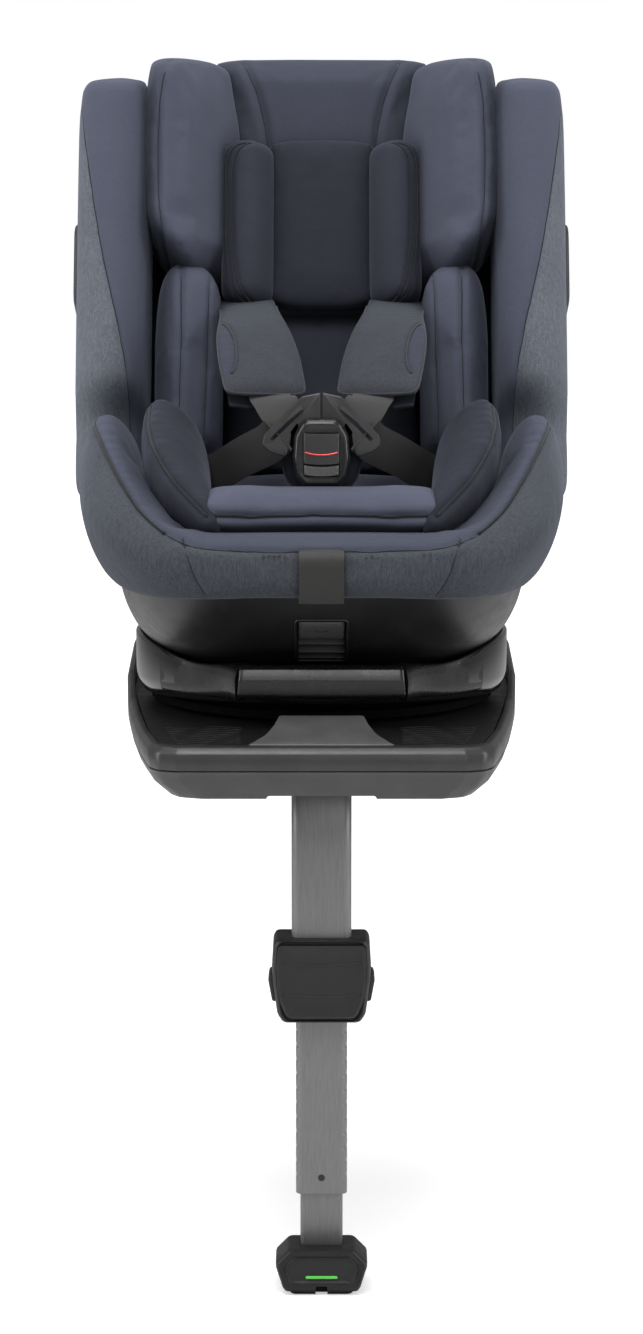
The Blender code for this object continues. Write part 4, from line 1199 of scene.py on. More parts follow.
# the band sweeps out on each side to meet the ends of the handle
SOCKET_FRONT, SOCKET_REAR = np.array([0.0722, -0.1893]), np.array([0.139, -0.0862])
SOCKET_INNER_R = 0.157
for side, sign in SIDES:
    rings = []
    for u in np.concatenate([[0.0, 0.004], np.linspace(0.02, 1.0, 22)]):
        spot = SOCKET_FRONT + (SOCKET_REAR - SOCKET_FRONT) * u
        swell = math.sin(math.pi * u)
        outer_r = float(np.hypot(*spot)) - 0.0006 - 0.012 * swell * (1 - u)
        heading = spot / np.hypot(*spot)
        wall = wall_height(math.degrees(math.atan2(spot[0], -spot[1])))
        blend = ease(0.0, 0.75, u)
        top = 0.0962 * (1 - blend) + (wall + 0.0012) * blend + 0.0012 * swell
        low = 0.0668 * (1 - blend) + 0.0625 * blend
        close = 0.9 if u == 0 else (0.97 if u < 0.01 else 1.0)
        mid_r, mid_z = (outer_r + SOCKET_INNER_R) / 2, (top + low) / 2
        half_r, half_z = (outer_r - SOCKET_INNER_R) / 2 * close, (top - low) / 2 * close
        ring = []
        for t in turn(48):
            r = mid_r + half_r * signed_pow(math.cos(t), 0.58)
            z = mid_z + half_z * signed_pow(math.sin(t), 0.58)
            ring.append((sign * heading[0] * r, heading[1] * r, z))
        rings.append(ring)
    socket = crease(loft("handle_socket_" + side, rings, HANDLE_BLACK), 60)
    place(socket, "turntable", "black_plastic")

# recline handle: a bar across the front on two stems
GRIP_OUTLINE = rounded([        # y, z, corner radius
    (-0.1685, 0.075, 0.002), (-0.1715, 0.0712, 0.003), (-0.1868, 0.0712, 0.003),
    (-0.1898, 0.0742, 0.003), (-0.1912, 0.0868, 0.0015), (-0.1868, 0.0958, 0.002),
    (-0.1815, 0.0972, 0.003), (-0.171, 0.0972, 0.003), (-0.1685, 0.094, 0.002)], per=5)
GRIP_END = [(0.0704, 0.8), (0.0702, 0.88), (0.0694, 0.955), (0.068, 0.99), (0.066, 1.0),
            (0.035, 1.0)]       # x, scale
GRIP_TAPER = 0.028              # the top edge is a little shorter than the bottom one


def tapered_grip(y, z, x):
    return (x * (1 - GRIP_TAPER * (z - 0.071) / 0.0257), y, z)


stations = [(-x, k) for x, k in GRIP_END] + [(0.0, 1.0)] + GRIP_END[::-1]
rings = stack(GRIP_OUTLINE, (-0.179, 0.0832), stations, tapered_grip)
handle = crease(loft("recline_grip", rings, HANDLE_BLACK), 60)
stems = [block("stem", (x - 0.0045, -0.173, 0.0795), (x + 0.0045, -0.1555, 0.0885), GLOSS, 0.0008)
         for x in (-0.052, 0.052)]
handle = join([handle] + stems, "recline_grip")
place(handle, "recline_handle", "black_plastic", "recline_handle")


# ================================================================== TUB, WINDOW, FLAP
def tub_row(x, grow):
    """One section of the tub, rim to rim from front to rear."""
    r = tub_r(x) + grow
    cosine = min(1.0, (TUB_AXIS_Z - TUB_TOP) / r)
    reach = max(0.02, math.acos(cosine)) if cosine < 1 else 0.02
    return [(x, -r * math.sin(t), TUB_AXIS_Z - r * math.cos(t))
            for t in np.linspace(reach, -reach, 97)]


def make_tub():
    xs = [0.1758 * math.sin(math.pi / 2 * u) for u in np.linspace(-1, 1, 101)]
    outer = [tub_row(x, 0.0) for x in xs]
    inner = [tub_row(x * 0.978, -0.004) for x in xs]
    rows, cols = len(outer), len(outer[0])
    inside = rows * cols
    verts = [p for row in outer + inner for p in row]
    faces = []
    for i in range(rows - 1):
        for j in range(cols - 1):
            a, b = i * cols + j, i * cols + j + 1
            c, d = b + cols, a + cols
            faces.append((a, d, c, b))
            faces.append((inside + a, inside + b, inside + c, inside + d))
    rim = [(i, 0) for i in range(rows)] + [(rows - 1, j) for j in range(1, cols)]
    rim += [(i, cols - 1) for i in range(rows - 2, -1, -1)]
    rim += [(0, j) for j in range(cols - 2, 0, -1)]
    for (i, j), (k, l) in zip(rim, rim[1:] + rim[:1]):
        a, b = i * cols + j, k * cols + l
        faces.append((a, b, inside + b, inside + a))
    return fix_normals(mesh_object("tub_shell", verts, faces, TUB_BLACK))


tub = make_tub()
WINDOW = [(-0.0203, 0.0966), (0.0203, 0.0966), (0.0206, 0.1374), (-0.0206, 0.1374)]
cut(tub, plate("cut", rounded(WINDOW, 0.0028, 5), along_y, -0.26, -0.12, TUB_BLACK))
crease(tub, 45)
place(tub, "seat", "black_plastic", "seat_tub")

BEZEL = [(-0.0212, 0.0956), (0.0212, 0.0956), (0.0216, 0.1386), (-0.0216, 0.1386)]
bezel_path = [(x, -tub_y(x, z, 0.0001), z) for x, z in resample(rounded(BEZEL, 0.004, 6), 120, True)]
bezel = cords("window_bezel", [bezel_path], 0.0011, TUB_BLACK, closed=True)
place(bezel, "seat", "black_plastic")

# recess behind the window, with three ribs
rings = [[(x, -tub_y(x, z, -0.011), z) for x in np.linspace(-0.023, 0.023, 9)]
         for z in np.linspace(0.094, 0.1405, 14)]
parts = [loft("window_recess", rings, TUB_BLACK, closed=False)]
parts[0].modifiers.new("s", "SOLIDIFY").thickness = 0.001
apply_mods(parts[0])
for z, height, grow in ((0.115, 0.005, -0.005), (0.107, 0.006, -0.0042), (0.0996, 0.004, -0.0036)):
    y = -tub_y(0, z, grow)
    low, high = z - height * 0.5, z + height * 0.5
    outline = [(y, low), (y + 0.01, low), (y + 0.01, high), (y + 0.003, high)]
    parts.append(plate("rib", outline, along_x, -0.0196, 0.0196, FLAP_GREY, 0.0004))
place(join(parts, "window_recess"), "seat", "black_plastic")

# flap in the upper part of the window
FLAP_PROFILE = [        # z before the drop, distance outside the tub
    (0.1222, -0.003), (0.1232, -0.0013), (0.126, -0.0008), (0.13, -0.0006), (0.1345, -0.0006),
    (0.138, -0.0008), (0.1396, -0.0016), (0.1402, -0.0034), (0.139, -0.0056), (0.13, -0.0046),
    (0.123, -0.0046)]
FLAP_DROP = 0.0036
rings = []
for x in np.linspace(-0.0189, 0.0189, 15):
    sink = 0.0016 * ease(0.017, 0.019, abs(x))
    rings.append([(x, -tub_y(x, z - FLAP_DROP, grow - sink), z - FLAP_DROP)
                  for z, grow in FLAP_PROFILE])
flap = crease(loft("rotation_flap", rings, FLAP_GREY), 50)
place(flap, "rotation_lever", "collar_plastic", "rotation_button")
mark = []
for t in np.linspace(math.radians(200), math.radians(340), 14):
    z = 0.1289 + 0.003 * math.sin(t)
    mark.append((0.0052 * math.cos(t), -tub_y(0, z, -0.0003), z))
mark = cords("flap_mark", [mark], 0.00035, TUB_BLACK, res=1)
place(mark, "rotation_lever", "collar_plastic")

# carrier inside the covers: a pan that follows the tub's rim, and the slotted back board
front_edge = [(x, -(tub_y(x, TUB_TOP) - 0.008)) for x in np.linspace(-0.148, 0.148, 41)]
rear_edge = [(x, min(0.12, tub_y(x, TUB_TOP) - 0.008)) for x in np.linspace(0.148, -0.148, 41)]
pan = plate("pan", front_edge + rear_edge, along_z, TUB_TOP + 0.0004, TUB_TOP + 0.0045, FOAM_GREY)
board = block("board", (-0.15, -0.028, -0.0345), (0.15, 0.345, -0.03), FOAM_GREY, 0.0012,
              back_point)
for x in (-0.045, 0.045):
    cut(board, block("cut", (x - 0.021, 0.1, -0.08), (x + 0.021, 0.33, 0.08), FOAM_GREY, 0,
                     back_point))
carrier = crease(join([pan, board], "seat_carrier"), 40)
place(carrier, "seat", "structural_foam", "seat_frame")


# ================================================================== SUPPORT LEG
TUBE_WALL = 0.002


def tube(name, width, depth, radius, z0, z1, notches=None):
    """Rounded rectangular tube; notches(z) scallops its side edges."""
    count = 5 if notches is None else int((z1 - z0) / 0.0009)
    heights = {z0, z0 + 0.0006, z1 - 0.0006, z1} | set(np.linspace(z0, z1, count))
    rings = []
    for z in sorted(heights):
        bite = notches(z) if notches else 0.0
        end = 0.0004 if z in (z0, z1) else 0.0
        section = rounded_rect(width / 2 - end, depth / 2 - end, radius, 7)
        rings.append([(x - math.copysign(bite * ease(width / 2 - radius, width / 2, abs(x)), x),
                       LEG_Y + y, z) for x, y in section])
    bore = rounded_rect(width / 2 - TUBE_WALL, depth / 2 - TUBE_WALL,
                        max(0.001, radius - TUBE_WALL), 7)
    for z in (z1, z0):
        rings.append([(x, LEG_Y + y, z) for x, y in bore])
    return crease(loft(name, rings, TUBE, cap=False, loop=True), 45)


leg_upper = join([
    tube("leg_outer_tube", 0.05, 0.03, 0.0085, -0.19, -0.004),
    rod("knuckle", (-0.0248, LEG_Y, LEG_HINGE_Z), (0.0248, LEG_Y, LEG_HINGE_Z), 0.0095, TUBE, 40,
        0.001),
    block("web", (-0.024, LEG_Y - 0.0088, -0.0065), (0.024, LEG_Y + 0.0088, LEG_HINGE_Z), TUBE),
    plate("tube_cap", rounded_rect(0.0235, 0.0135, 0.007, cy=LEG_Y), along_z, -0.0075, -0.0045,
          CONN_BLACK),
], "leg_outer_tube")
place(leg_upper, "leg_upper", "grey_anodised", "leg_upper_tube")


def scallop(z):
    """Evenly pitched notches along the middle tube."""
    if not -0.335 < z < -0.205:
        return 0.0
    return 0.0013 * max(0.0, math.cos(2 * math.pi * (z + 0.27) / 0.0125)) ** 3


STOP_Z = -0.3335
leg_middle = tube("leg_middle_slider", 0.043, 0.024, 0.0065, -0.348, -0.1, scallop)
cut(leg_middle, rod("cut", (0, LEG_Y - 0.03, STOP_Z), (0, LEG_Y, STOP_Z), 0.003, TUBE))
crease(leg_middle, 45)
place(leg_middle, "leg_middle", "grey_anodised", "leg_middle_tube")
lining = rod("stop_hole_lining", (0, LEG_Y - 0.0118, STOP_Z), (0, LEG_Y - 0.0098, STOP_Z), 0.0033,
             CONN_BLACK, edge=0.0003)
place(lining, "leg_middle", "black_plastic")
leg_lower = tube("leg_inner_slider", 0.0357, 0.0187, 0.0045, -0.404, -0.16)
place(leg_lower, "leg_lower", "grey_anodised", "leg_lower_tube")


def leg_bore(half_w, half_d, radius, lo, hi, per=7):
    return plate("cut", rounded_rect(half_w, half_d, radius, per, LEG_Y), along_z, lo, hi,
                 COLLAR_GREY)


def raised_face(name, outline, centre_z, stations, share):
    """Inset front face, from (scale, y) stations; share as in stack, near the rim only."""
    rings = []
    for scale, y in stations:
        height = 1 - share + share * scale if scale > 0.9 else scale
        rings.append([(x * scale, y, centre_z + (z - centre_z) * height) for x, z in outline])
    return loft(name, rings, COLLAR_GREY)


# clamp round the foot of the upper tube; right half: x, z, corner radius
COLLAR_HALF = [(0.0325, -0.197, 0.006), (0.037, -0.19, 0.01), (0.0408, -0.162, 0.016),
               (0.0414, -0.15, 0.012), (0.0402, -0.13, 0.006), (0.0374, -0.126, 0.004)]
COLLAR_STATIONS = [     # y, scale
    (-0.2215, 0.845), (-0.224, 0.905), (-0.2243, 0.925), (-0.2232, 0.96), (-0.2205, 0.985),
    (-0.2165, 0.9975), (-0.208, 1.0), (-0.187, 1.0), (-0.1825, 0.995), (-0.1806, 0.975),
    (-0.1797, 0.945)]
COLLAR_CENTRE_Z = -0.1615
rings = stack(rounded(both_halves(COLLAR_HALF), per=6), (0.0, COLLAR_CENTRE_Z), COLLAR_STATIONS,
              along_y, share=0.5)
collar = loft("leg_clamp", rings, COLLAR_GREY)
cut(collar, leg_bore(0.0254, 0.0154, 0.0085, -0.1904, 0.0))
cut(collar, leg_bore(0.022, 0.0125, 0.0065, -0.3, -0.18))
for x in (-0.043, 0.043):       # wells for the squeeze buttons
    cut(collar, block("cut", (x - 0.0095, LEG_Y - 0.0148, -0.1818),
                      (x + 0.0095, LEG_Y + 0.0148, -0.156), COLLAR_GREY, 0))
CLAMP_FACE_HALF = [(0.0292, -0.1925, 0.009), (0.0352, -0.178, 0.03), (0.0374, -0.16, 0.04),
                   (0.0376, -0.148, 0.02), (0.0362, -0.1305, 0.004)]
CLAMP_FACE_STATIONS = [(1.0, -0.2205), (1.0, -0.2243), (0.992, -0.2249), (0.975, -0.2251),
                       (0.955, -0.2248), (0.945, -0.224), (0.925, -0.2238), (0.5, -0.2241)]
face = raised_face("clamp_face", rounded(both_halves(CLAMP_FACE_HALF), per=6), COLLAR_CENTRE_Z,
                   CLAMP_FACE_STATIONS, share=0.5)
paths = [[(x, -0.2243 + 0.0004 * (x / 0.035) ** 2, z + 0.0022 * (x / 0.035) ** 2)
          for x in np.linspace(-0.0325, 0.0325, 20)] for z in (-0.147, -0.174)]
creases = cords("clamp_creases", paths, 0.00055, COLLAR_GREY, res=2)
crease(collar, 42)
collar = join([collar, face, creases], "leg_clamp")
place(collar, "leg_upper", "collar_plastic", "leg_collar")

SQUEEZE_OUTLINE = rounded([     # x, z, corner radius
    (0.0378, -0.1572, 0.001), (0.0432, -0.1572, 0.002), (0.0446, -0.162, 0.006),
    (0.0412, -0.1805, 0.003), (0.0378, -0.1808, 0.001)], per=5)
SQUEEZE_STATIONS = [(-0.0142, 0.9), (-0.0136, 0.96), (-0.0122, 1.0), (0.0122, 1.0),
                    (0.0136, 0.96), (0.0142, 0.9)]
for side, sign in SIDES:
    rings = stack(SQUEEZE_OUTLINE, (0.0405, -0.169), SQUEEZE_STATIONS,
                  lambda x, z, y: (sign * x, LEG_Y + y, z))
    button = loft("leg_squeeze_" + side, rings, COLLAR_GREY)
    paths = [[(sign * (0.0443 - 0.16 * abs(z + 0.16)), LEG_Y + y, z)
              for y in np.linspace(-0.011, 0.011, 6)]
             for z in (-0.1625, -0.166, -0.1695, -0.173)]
    grips = cords("grips", paths, 0.0005, COLLAR_GREY, res=1)
    button = join([button, grips], "leg_squeeze_" + side)
    place(button, "leg_button_" + side, "collar_plastic", "leg_button_" + side)

# foot: housing with an inset face, signal strip and rubber sole
FOOT_HALF = [(0.031, -0.429, 0.002), (0.033, -0.4262, 0.004), (0.0386, -0.4085, 0.004),
             (0.0386, -0.4042, 0.003), (0.0275, -0.393, 0.006)]
FOOT_STATIONS = [       # y, scale
    (-0.225, 0.905), (-0.2258, 0.93), (-0.2252, 0.955), (-0.2232, 0.98), (-0.22, 0.997),
    (-0.214, 1.0), (-0.187, 1.0), (-0.1825, 0.99), (-0.1808, 0.965), (-0.18, 0.93)]
rings = stack(rounded(both_halves(FOOT_HALF), per=6), (0.0, -0.411), FOOT_STATIONS, along_y,
              share=0.65)
foot = loft("foot_cover", rings, COLLAR_GREY)
cut(foot, leg_bore(0.01825, 0.00975, 0.0045, -0.4045, -0.3))
cut(foot, block("cut", (-0.0272, LEG_Y - 0.0228, -0.5), (0.0272, LEG_Y + 0.0168, -0.421),
                COLLAR_GREY, 0))
FOOT_NOTCH = [(-0.0062, -0.44), (-0.0046, -0.4243, 0.001), (0.0046, -0.4243, 0.001),
              (0.0062, -0.44)]
cut(foot, plate("cut", FOOT_NOTCH, along_y, -0.26, -0.216, COLLAR_GREY))
FOOT_FACE_HALF = [(0.0268, -0.4215, 0.003), (0.0302, -0.4075, 0.006), (0.0232, -0.399, 0.005)]
FOOT_FACE_STATIONS = [(1.03, -0.222), (1.03, -0.2258), (1.015, -0.2265), (0.99, -0.2267),
                      (0.97, -0.2263), (0.955, -0.2254), (0.94, -0.225), (0.5, -0.2251)]
face = raised_face("foot_face", rounded(both_halves(FOOT_FACE_HALF), per=6), -0.4098,
                   FOOT_FACE_STATIONS, share=0.4)
crease(foot, 42)
foot = join([foot, face], "foot_cover")
place(foot, "leg_lower", "collar_plastic", "foot_housing")
SIGNAL = [(-0.0135, -0.4174), (0.0135, -0.4174), (0.0135, -0.415), (-0.0135, -0.415)]
signal = plate("foot_signal", rounded(SIGNAL, 0.0011, 5), along_y, -0.2261, -0.224, GREEN, 0.0003)
place(signal, "leg_lower", "green_indicator", "foot_indicator")
SOLE_Y = LEG_Y - 0.003
rings = stack(rounded_rect(0.0266, 0.0192, 0.005, cy=SOLE_Y), (0.0, SOLE_Y),
              [(-0.425, 1.0), (-0.43, 1.0), (-0.4314, 0.99), (-0.432, 0.965)], along_z)
sole = loft("foot_pad", rings, RUBBER)
SOLE_NOTCH = [(-0.005, -0.45), (-0.005, -0.41), (0.005, -0.41), (0.005, -0.45)]
cut(sole, plate("cut", SOLE_NOTCH, along_y, -0.26, -0.216, RUBBER))
crease(sole, 42)
place(sole, "foot_sole", "rubber", "foot_sole")


# ================================================================== SOFT GOODS ON THE BACK
def bar(name, outline, steps, section, mat, count=48):
    """Padded bar up the back. outline: closed (x, n) points; section(s, points) reshapes it.

    steps: bottom s, top s, how far each end's crowded stations reach, stations for the height.
    """
    s0, s1, reach0, reach1, per_height = steps
    low = [s0 + reach0 * (1 - math.cos(t)) for t in np.linspace(0.0, math.pi / 2, 9)]
    high = [s1 - reach1 * (1 - math.cos(t)) for t in np.linspace(math.pi / 2, 0.0, 9)]
    between = max(3, int(per_height * (high[0] - low[-1]) / (s1 - s0)))
    heights = low + list(np.linspace(low[-1], high[0], between))[1:-1] + high
    base = closed_loop(outline, count)
    rings = [[back_point(x, s, n) for x, n in section(s, base)] for s in heights]
    return loft(name, rings, mat)


def round_ends(s0, s1, reach0, reach1, centre, power0, power1, least=0.06):
    """Section that shrinks about centre towards both ends of a bar."""
    centre = np.array(centre)

    def section(s, pts):
        scale = 1.0
        if s - s0 < reach0:
            scale *= max(least, (1 - (1 - (s - s0) / reach0) ** power0)) ** (1 / power0)
        if s1 - s < reach1:
            scale *= max(least, (1 - (1 - (s1 - s) / reach1) ** power1)) ** (1 / power1)
        return centre + (pts - centre) * max(least, scale)
    return section


# ---------------------------------------------------------------- side bolsters
BOLSTER = [     # x, n
    (0.156, -0.024), (0.178, -0.025), (0.1985, -0.019), (0.2015, 0.004), (0.2075, 0.024),
    (0.213, 0.04), (0.216, 0.062), (0.215, 0.085), (0.207, 0.106), (0.192, 0.117),
    (0.178, 0.1165), (0.166, 0.106), (0.1595, 0.085), (0.157, 0.045), (0.156, 0.01)]
BOLSTER_S0, BOLSTER_S1 = -0.016, 0.392
BOLSTER_X = (0.153, 0.215)          # inner and outer side
BOLSTER_N = (-0.02, 0.118)          # rear and front of the part that is reshaped


def bolster_section(s, pts):
    out = pts.copy()
    rear, full = BOLSTER_N
    # the front face runs lower behind the thigh wing and rounds off at the top
    front = 0.085 + 0.033 * ease(0.045, 0.085, s)
    front -= 0.046 * (1 - dome((s - 0.362) / 0.03, 2.4))
    k = np.clip((out[:, 1] - rear) / (full - rear), 0, 1)
    out[:, 1] = rear + (out[:, 1] - rear) * (1 - k * (1 - (front - rear) / (full - rear)))
    # the outer top corner is round
    corner = 0.018 * (1 - dome((s - 0.352) / 0.04, 2.2))
    out[:, 0] -= np.clip((out[:, 0] - BOLSTER_X[0]) / (BOLSTER_X[1] - BOLSTER_X[0]), 0, 1) * corner
    end = 0.8 + 0.2 * dome(1 - (s - BOLSTER_S0) / 0.012, 2)
    end *= 0.7 + 0.3 * dome(1 - (BOLSTER_S1 - s) / 0.012, 2)
    centre = np.array([0.178, 0.02])
    return centre + (out - centre) * end


BOLSTER_SEAM = [    # x, z seen on y = 0
    (0.2065, 0.55), (0.2052, 0.53), (0.2025, 0.51), (0.198, 0.4755), (0.189, 0.424),
    (0.1757, 0.3655), (0.1693, 0.329), (0.1665, 0.29), (0.1655, 0.25)]
bolster = bar("bolster_cover_right", BOLSTER, (BOLSTER_S0, BOLSTER_S1, 0.016, 0.03, 42),
              bolster_section, TWO_SIDE_LIT)
level_top(bolster, limit=0.569, softness=0.0135)
puff(bolster, voxel=0.005, pressure=4.0, reach=0.0028, pin=hold_back(0.0), smooth=4)
# melange outside the seam and all round the back
seen_x, seen_z = eye_plane(coords(bolster))
seam_x, seam_z = np.array(BOLSTER_SEAM[::-1]).T
zone = seen_x - np.interp(seen_z, seam_z, seam_x)
_, bolster_s, bolster_n = to_back(coords(bolster))
zone = np.where(bolster_s > 0.35, zone - 0.5 * (bolster_s - 0.35), zone)
set_zone(bolster, np.where(bolster_n < 0.03, 0.01, zone))
seams = drape(bolster, [BOLSTER_SEAM])
finish_pair(bolster, mirror_x(bolster, "bolster_cover_left"), "seat", "heather_fabric",
            "side_bolster_", "bolster_%s", seams=seams, stitch=0.0034, depth=0.0016, width=0.0026)

# ---------------------------------------------------------------- headrest wings
WING = [        # x, n
    (0.08, 0.002), (0.12, 0.0015), (0.153, 0.002), (0.1565, 0.03), (0.1555, 0.065),
    (0.153, 0.09), (0.1475, 0.105), (0.138, 0.109), (0.127, 0.102), (0.112, 0.084),
    (0.095, 0.062), (0.081, 0.044), (0.0745, 0.033), (0.075, 0.018)]
WING_S0, WING_S1 = 0.1875, 0.4095


def wing_section(s, pts):
    out = pts.copy()
    # the lower end draws in from the outside
    low = 1 - ease(WING_S0, WING_S0 + 0.058, s)
    t = np.clip((out[:, 0] - 0.095) / 0.061, 0, 1)
    out[:, 0] -= t * 0.03 * low ** 1.35
    # the inner edge leaves the panel towards the top
    inner = np.clip((0.105 - out[:, 0]) / 0.03, 0, 1)
    out[:, 0] += (1 - t) * 0.0085 * ease(0.325, 0.4, s) * inner
    # the top rounds over towards the back
    top = dome((s - 0.372) / 0.0375, 2.6)
    bottom = 0.52 + 0.48 * dome(1 - (s - WING_S0) / 0.034, 2.0)
    out[:, 1] = 0.0015 + (out[:, 1] - 0.0015) * (0.55 + 0.45 * top) * bottom
    end = 0.55 + 0.45 * dome(1 - (s - WING_S0) / 0.014, 2)
    end *= 0.6 + 0.4 * dome(1 - (WING_S1 - s) / 0.014, 2)
    centre = np.array([0.12, 0.045])
    return centre + (out - centre) * np.array([end, 1.0])


WING_SEAM = [(0.13, 0.596), (0.1375, 0.576), (0.1415, 0.5366), (0.1418, 0.4939),
             (0.1395, 0.4578), (0.133, 0.4234), (0.1255, 0.4036)]
wing = bar("headrest_side_right", WING, (WING_S0, WING_S1, 0.022, 0.04, 44), wing_section, KNIT)
level_top(wing, limit=0.586, softness=0.0145)
puff(wing, voxel=0.0048, pressure=4.5, reach=0.0038, pin=hold_back(0.002, 0.014), smooth=4)
seams = drape(wing, [WING_SEAM])
finish_pair(wing, mirror_x(wing, "headrest_side_left"), "headrest", "navy_knit", "headrest_wing_",
            "headrest_side_%s_edge", seams=seams, stitch=0.0034, depth=0.0017, width=0.0028)

# ---------------------------------------------------------------- headrest centre
HEAD_PAD = [(-0.093, 0.001), (0.093, 0.001), (0.0935, 0.012), (0.0915, 0.0215), (0.08, 0.027),
            (0.05, 0.0285), (0.0, 0.029), (-0.05, 0.0285), (-0.08, 0.027), (-0.0915, 0.0215),
            (-0.0935, 0.012)]


def head_pad_section(s, pts):
    out = pts.copy()
    thin = min(dome((s - 0.395) / 0.0265, 2.4), dome((0.18 - s) / 0.0145, 2.2))
    out[:, 1] = 0.001 + (out[:, 1] - 0.001) * max(0.05, thin)
    return out


HEAD_SEAM = [(0.069, 0.605), (0.0666, 0.5935), (0.0563, 0.5706), (0.0504, 0.5493),
             (0.047, 0.5285), (0.0465, 0.5)]
head_pad = bar("headrest_panel", HEAD_PAD, (0.166, 0.4205, 0.016, 0.026, 44), head_pad_section,
               KNIT_PANEL_SHADED, 64)
puff(head_pad, voxel=0.0048, pressure=3.5, reach=0.0022, pin=hold_back(0.001, 0.008))
seams = drape(head_pad, [mirrored(HEAD_SEAM), HEAD_SEAM])
place(head_pad, "headrest", "navy_knit", "headrest_pad")
dress("headrest_panel_join", head_pad, "headrest", seams=seams, top=seams, depth=0.0022,
      width=0.003, stitch_off=(-0.003, 0.003))

# ---------------------------------------------------------------- head insert: lobes and centre
LOBE = [(0.044, 0.032), (0.065, 0.031), (0.085, 0.033), (0.0905, 0.046), (0.088, 0.06),
        (0.08, 0.069), (0.067, 0.071), (0.054, 0.064), (0.0455, 0.053), (0.0425, 0.042)]
LOBE_PIPING = [
    [(0.064, 0.5262), (0.0745, 0.5235), (0.08, 0.515), (0.0822, 0.5), (0.0826, 0.451),
     (0.08, 0.4165), (0.0745, 0.396), (0.066, 0.388)],
    [(0.06, 0.5262), (0.07, 0.5225), (0.0752, 0.513), (0.0772, 0.499), (0.0776, 0.451),
     (0.075, 0.4185), (0.07, 0.399), (0.062, 0.389)]]
HEAD_MIDDLE = [(-0.047, 0.03), (0.047, 0.03), (0.049, 0.038), (0.0455, 0.0455), (0.025, 0.047),
               (0.0, 0.0475), (-0.025, 0.047), (-0.0455, 0.0455), (-0.049, 0.038)]
lobe = bar("head_hugger_right", LOBE, (0.1655, 0.323, 0.022, 0.018, 40),
           round_ends(0.1655, 0.323, 0.022, 0.016, (0.062, 0.044), 2.8, 3.2), KNIT_HUG_SHADED)
puff(lobe, voxel=0.0042, pressure=4.5, reach=0.0032, pin=hold_back(0.033, 0.01))
piping = drape(lobe, LOBE_PIPING)
lobe_left = mirror_x(lobe, "head_hugger_left")
head_middle = bar("head_hugger_middle", HEAD_MIDDLE, (0.169, 0.33, 0.014, 0.012, 36),
                  round_ends(0.169, 0.33, 0.014, 0.012, (0.0, 0.034), 2.6, 3.2, 0.2),
                  KNIT_INSERT_SHADED, 56)
puff(head_middle, voxel=0.0045, pressure=3.0, reach=0.002, pin=hold_back(0.031, 0.006))
place(head_middle, "headrest", "navy_knit", "head_insert")
finish_pair(lobe, lobe_left, "headrest", "navy_knit", None, "head_hugger_%s_edge", piping=piping,
            pipe_r=0.0009, depth=0.001, width=0.002)

# ---------------------------------------------------------------- torso inserts
TORSO = [(0.0925, -0.003), (0.118, -0.0035), (0.146, -0.003), (0.1465, 0.035), (0.144, 0.066),
         (0.1365, 0.085), (0.12, 0.091), (0.103, 0.083), (0.0925, 0.06), (0.09, 0.028)]
TORSO_SEAMS = [
    [(0.1215, 0.423), (0.1222, 0.4), (0.1226, 0.3646), (0.124, 0.32), (0.125, 0.2863)],
    [(0.0955, 0.42), (0.0965, 0.4), (0.0975, 0.3646), (0.0995, 0.32), (0.1015, 0.2688)]]
torso = bar("body_support_right", TORSO, (0.024, 0.205, 0.014, 0.036, 44),
            round_ends(0.024, 0.205, 0.014, 0.036, (0.12, 0.052), 2.5, 2.35), KNIT_BODY_LIT)
puff(torso, voxel=0.0045, pressure=4.5, reach=0.003, pin=hold_back(0.0, 0.016), smooth=4)
seams = drape(torso, TORSO_SEAMS)
finish_pair(torso, mirror_x(torso, "body_support_left"), "seat", "navy_knit", "torso_insert_",
            "body_support_%s_join", seams=seams, width=0.0026)

# ---------------------------------------------------------------- backrest and lower back pads
BACKREST = [(-0.15, -0.0285), (0.15, -0.0285), (0.151, -0.016), (0.144, -0.0085), (0.1, -0.0068),
            (0.0, -0.007), (-0.1, -0.0068), (-0.144, -0.0085), (-0.151, -0.016)]
backrest = bar("backrest_cushion", BACKREST, (0.0065, 0.3515, 0.014, 0.016, 44),
               round_ends(0.0065, 0.3515, 0.012, 0.014, (0.0, -0.018), 2.6, 2.8, 0.35),
               KNIT_DEEP_SHADE, 72)
puff(backrest, voxel=0.006, pressure=3.0, reach=0.002, pin=hold_back(-0.022, 0.01))
place(backrest, "seat", "navy_knit", "backrest_pad")
LOWER_BACK = [(-0.08, -0.004), (0.08, -0.004), (0.085, 0.004), (0.074, 0.015), (0.04, 0.02),
              (0.0, 0.021), (-0.04, 0.02), (-0.074, 0.015), (-0.085, 0.004)]


def lower_back_section(s, pts):
    """Narrows and thins towards the top."""
    out = pts.copy()
    out[:, 0] *= 0.3 + 0.7 * dome((s - 0.085) / 0.098, 2.6)
    out[:, 1] = -0.004 + (out[:, 1] + 0.004) * dome((s - 0.16) / 0.024, 2.2, least=0.02)
    return out


lower_back = bar("lower_back_cushion", LOWER_BACK, (0.022, 0.1835, 0.01, 0.022, 40),
                 lower_back_section, KNIT_DEEP_SHADE, 60)
puff(lower_back, voxel=0.0045, pressure=3.5, reach=0.0024, pin=hold_back(-0.002, 0.008))
place(lower_back, "seat", "navy_knit")


# ================================================================== SOFT GOODS ON THE SEAT
def close_ends(rings, first, last):
    """Adds shrinking rings before the first and after the last, from (scale, y step)."""
    def shrunk(ring, stations):
        centre = ring.mean(0)
        out = []
        for scale, step in stations:
            small = centre + (ring - centre) * scale
            small[:, 1] += step
            out.append(small)
        return out
    return shrunk(rings[0], first)[::-1] + rings + shrunk(rings[-1], last)


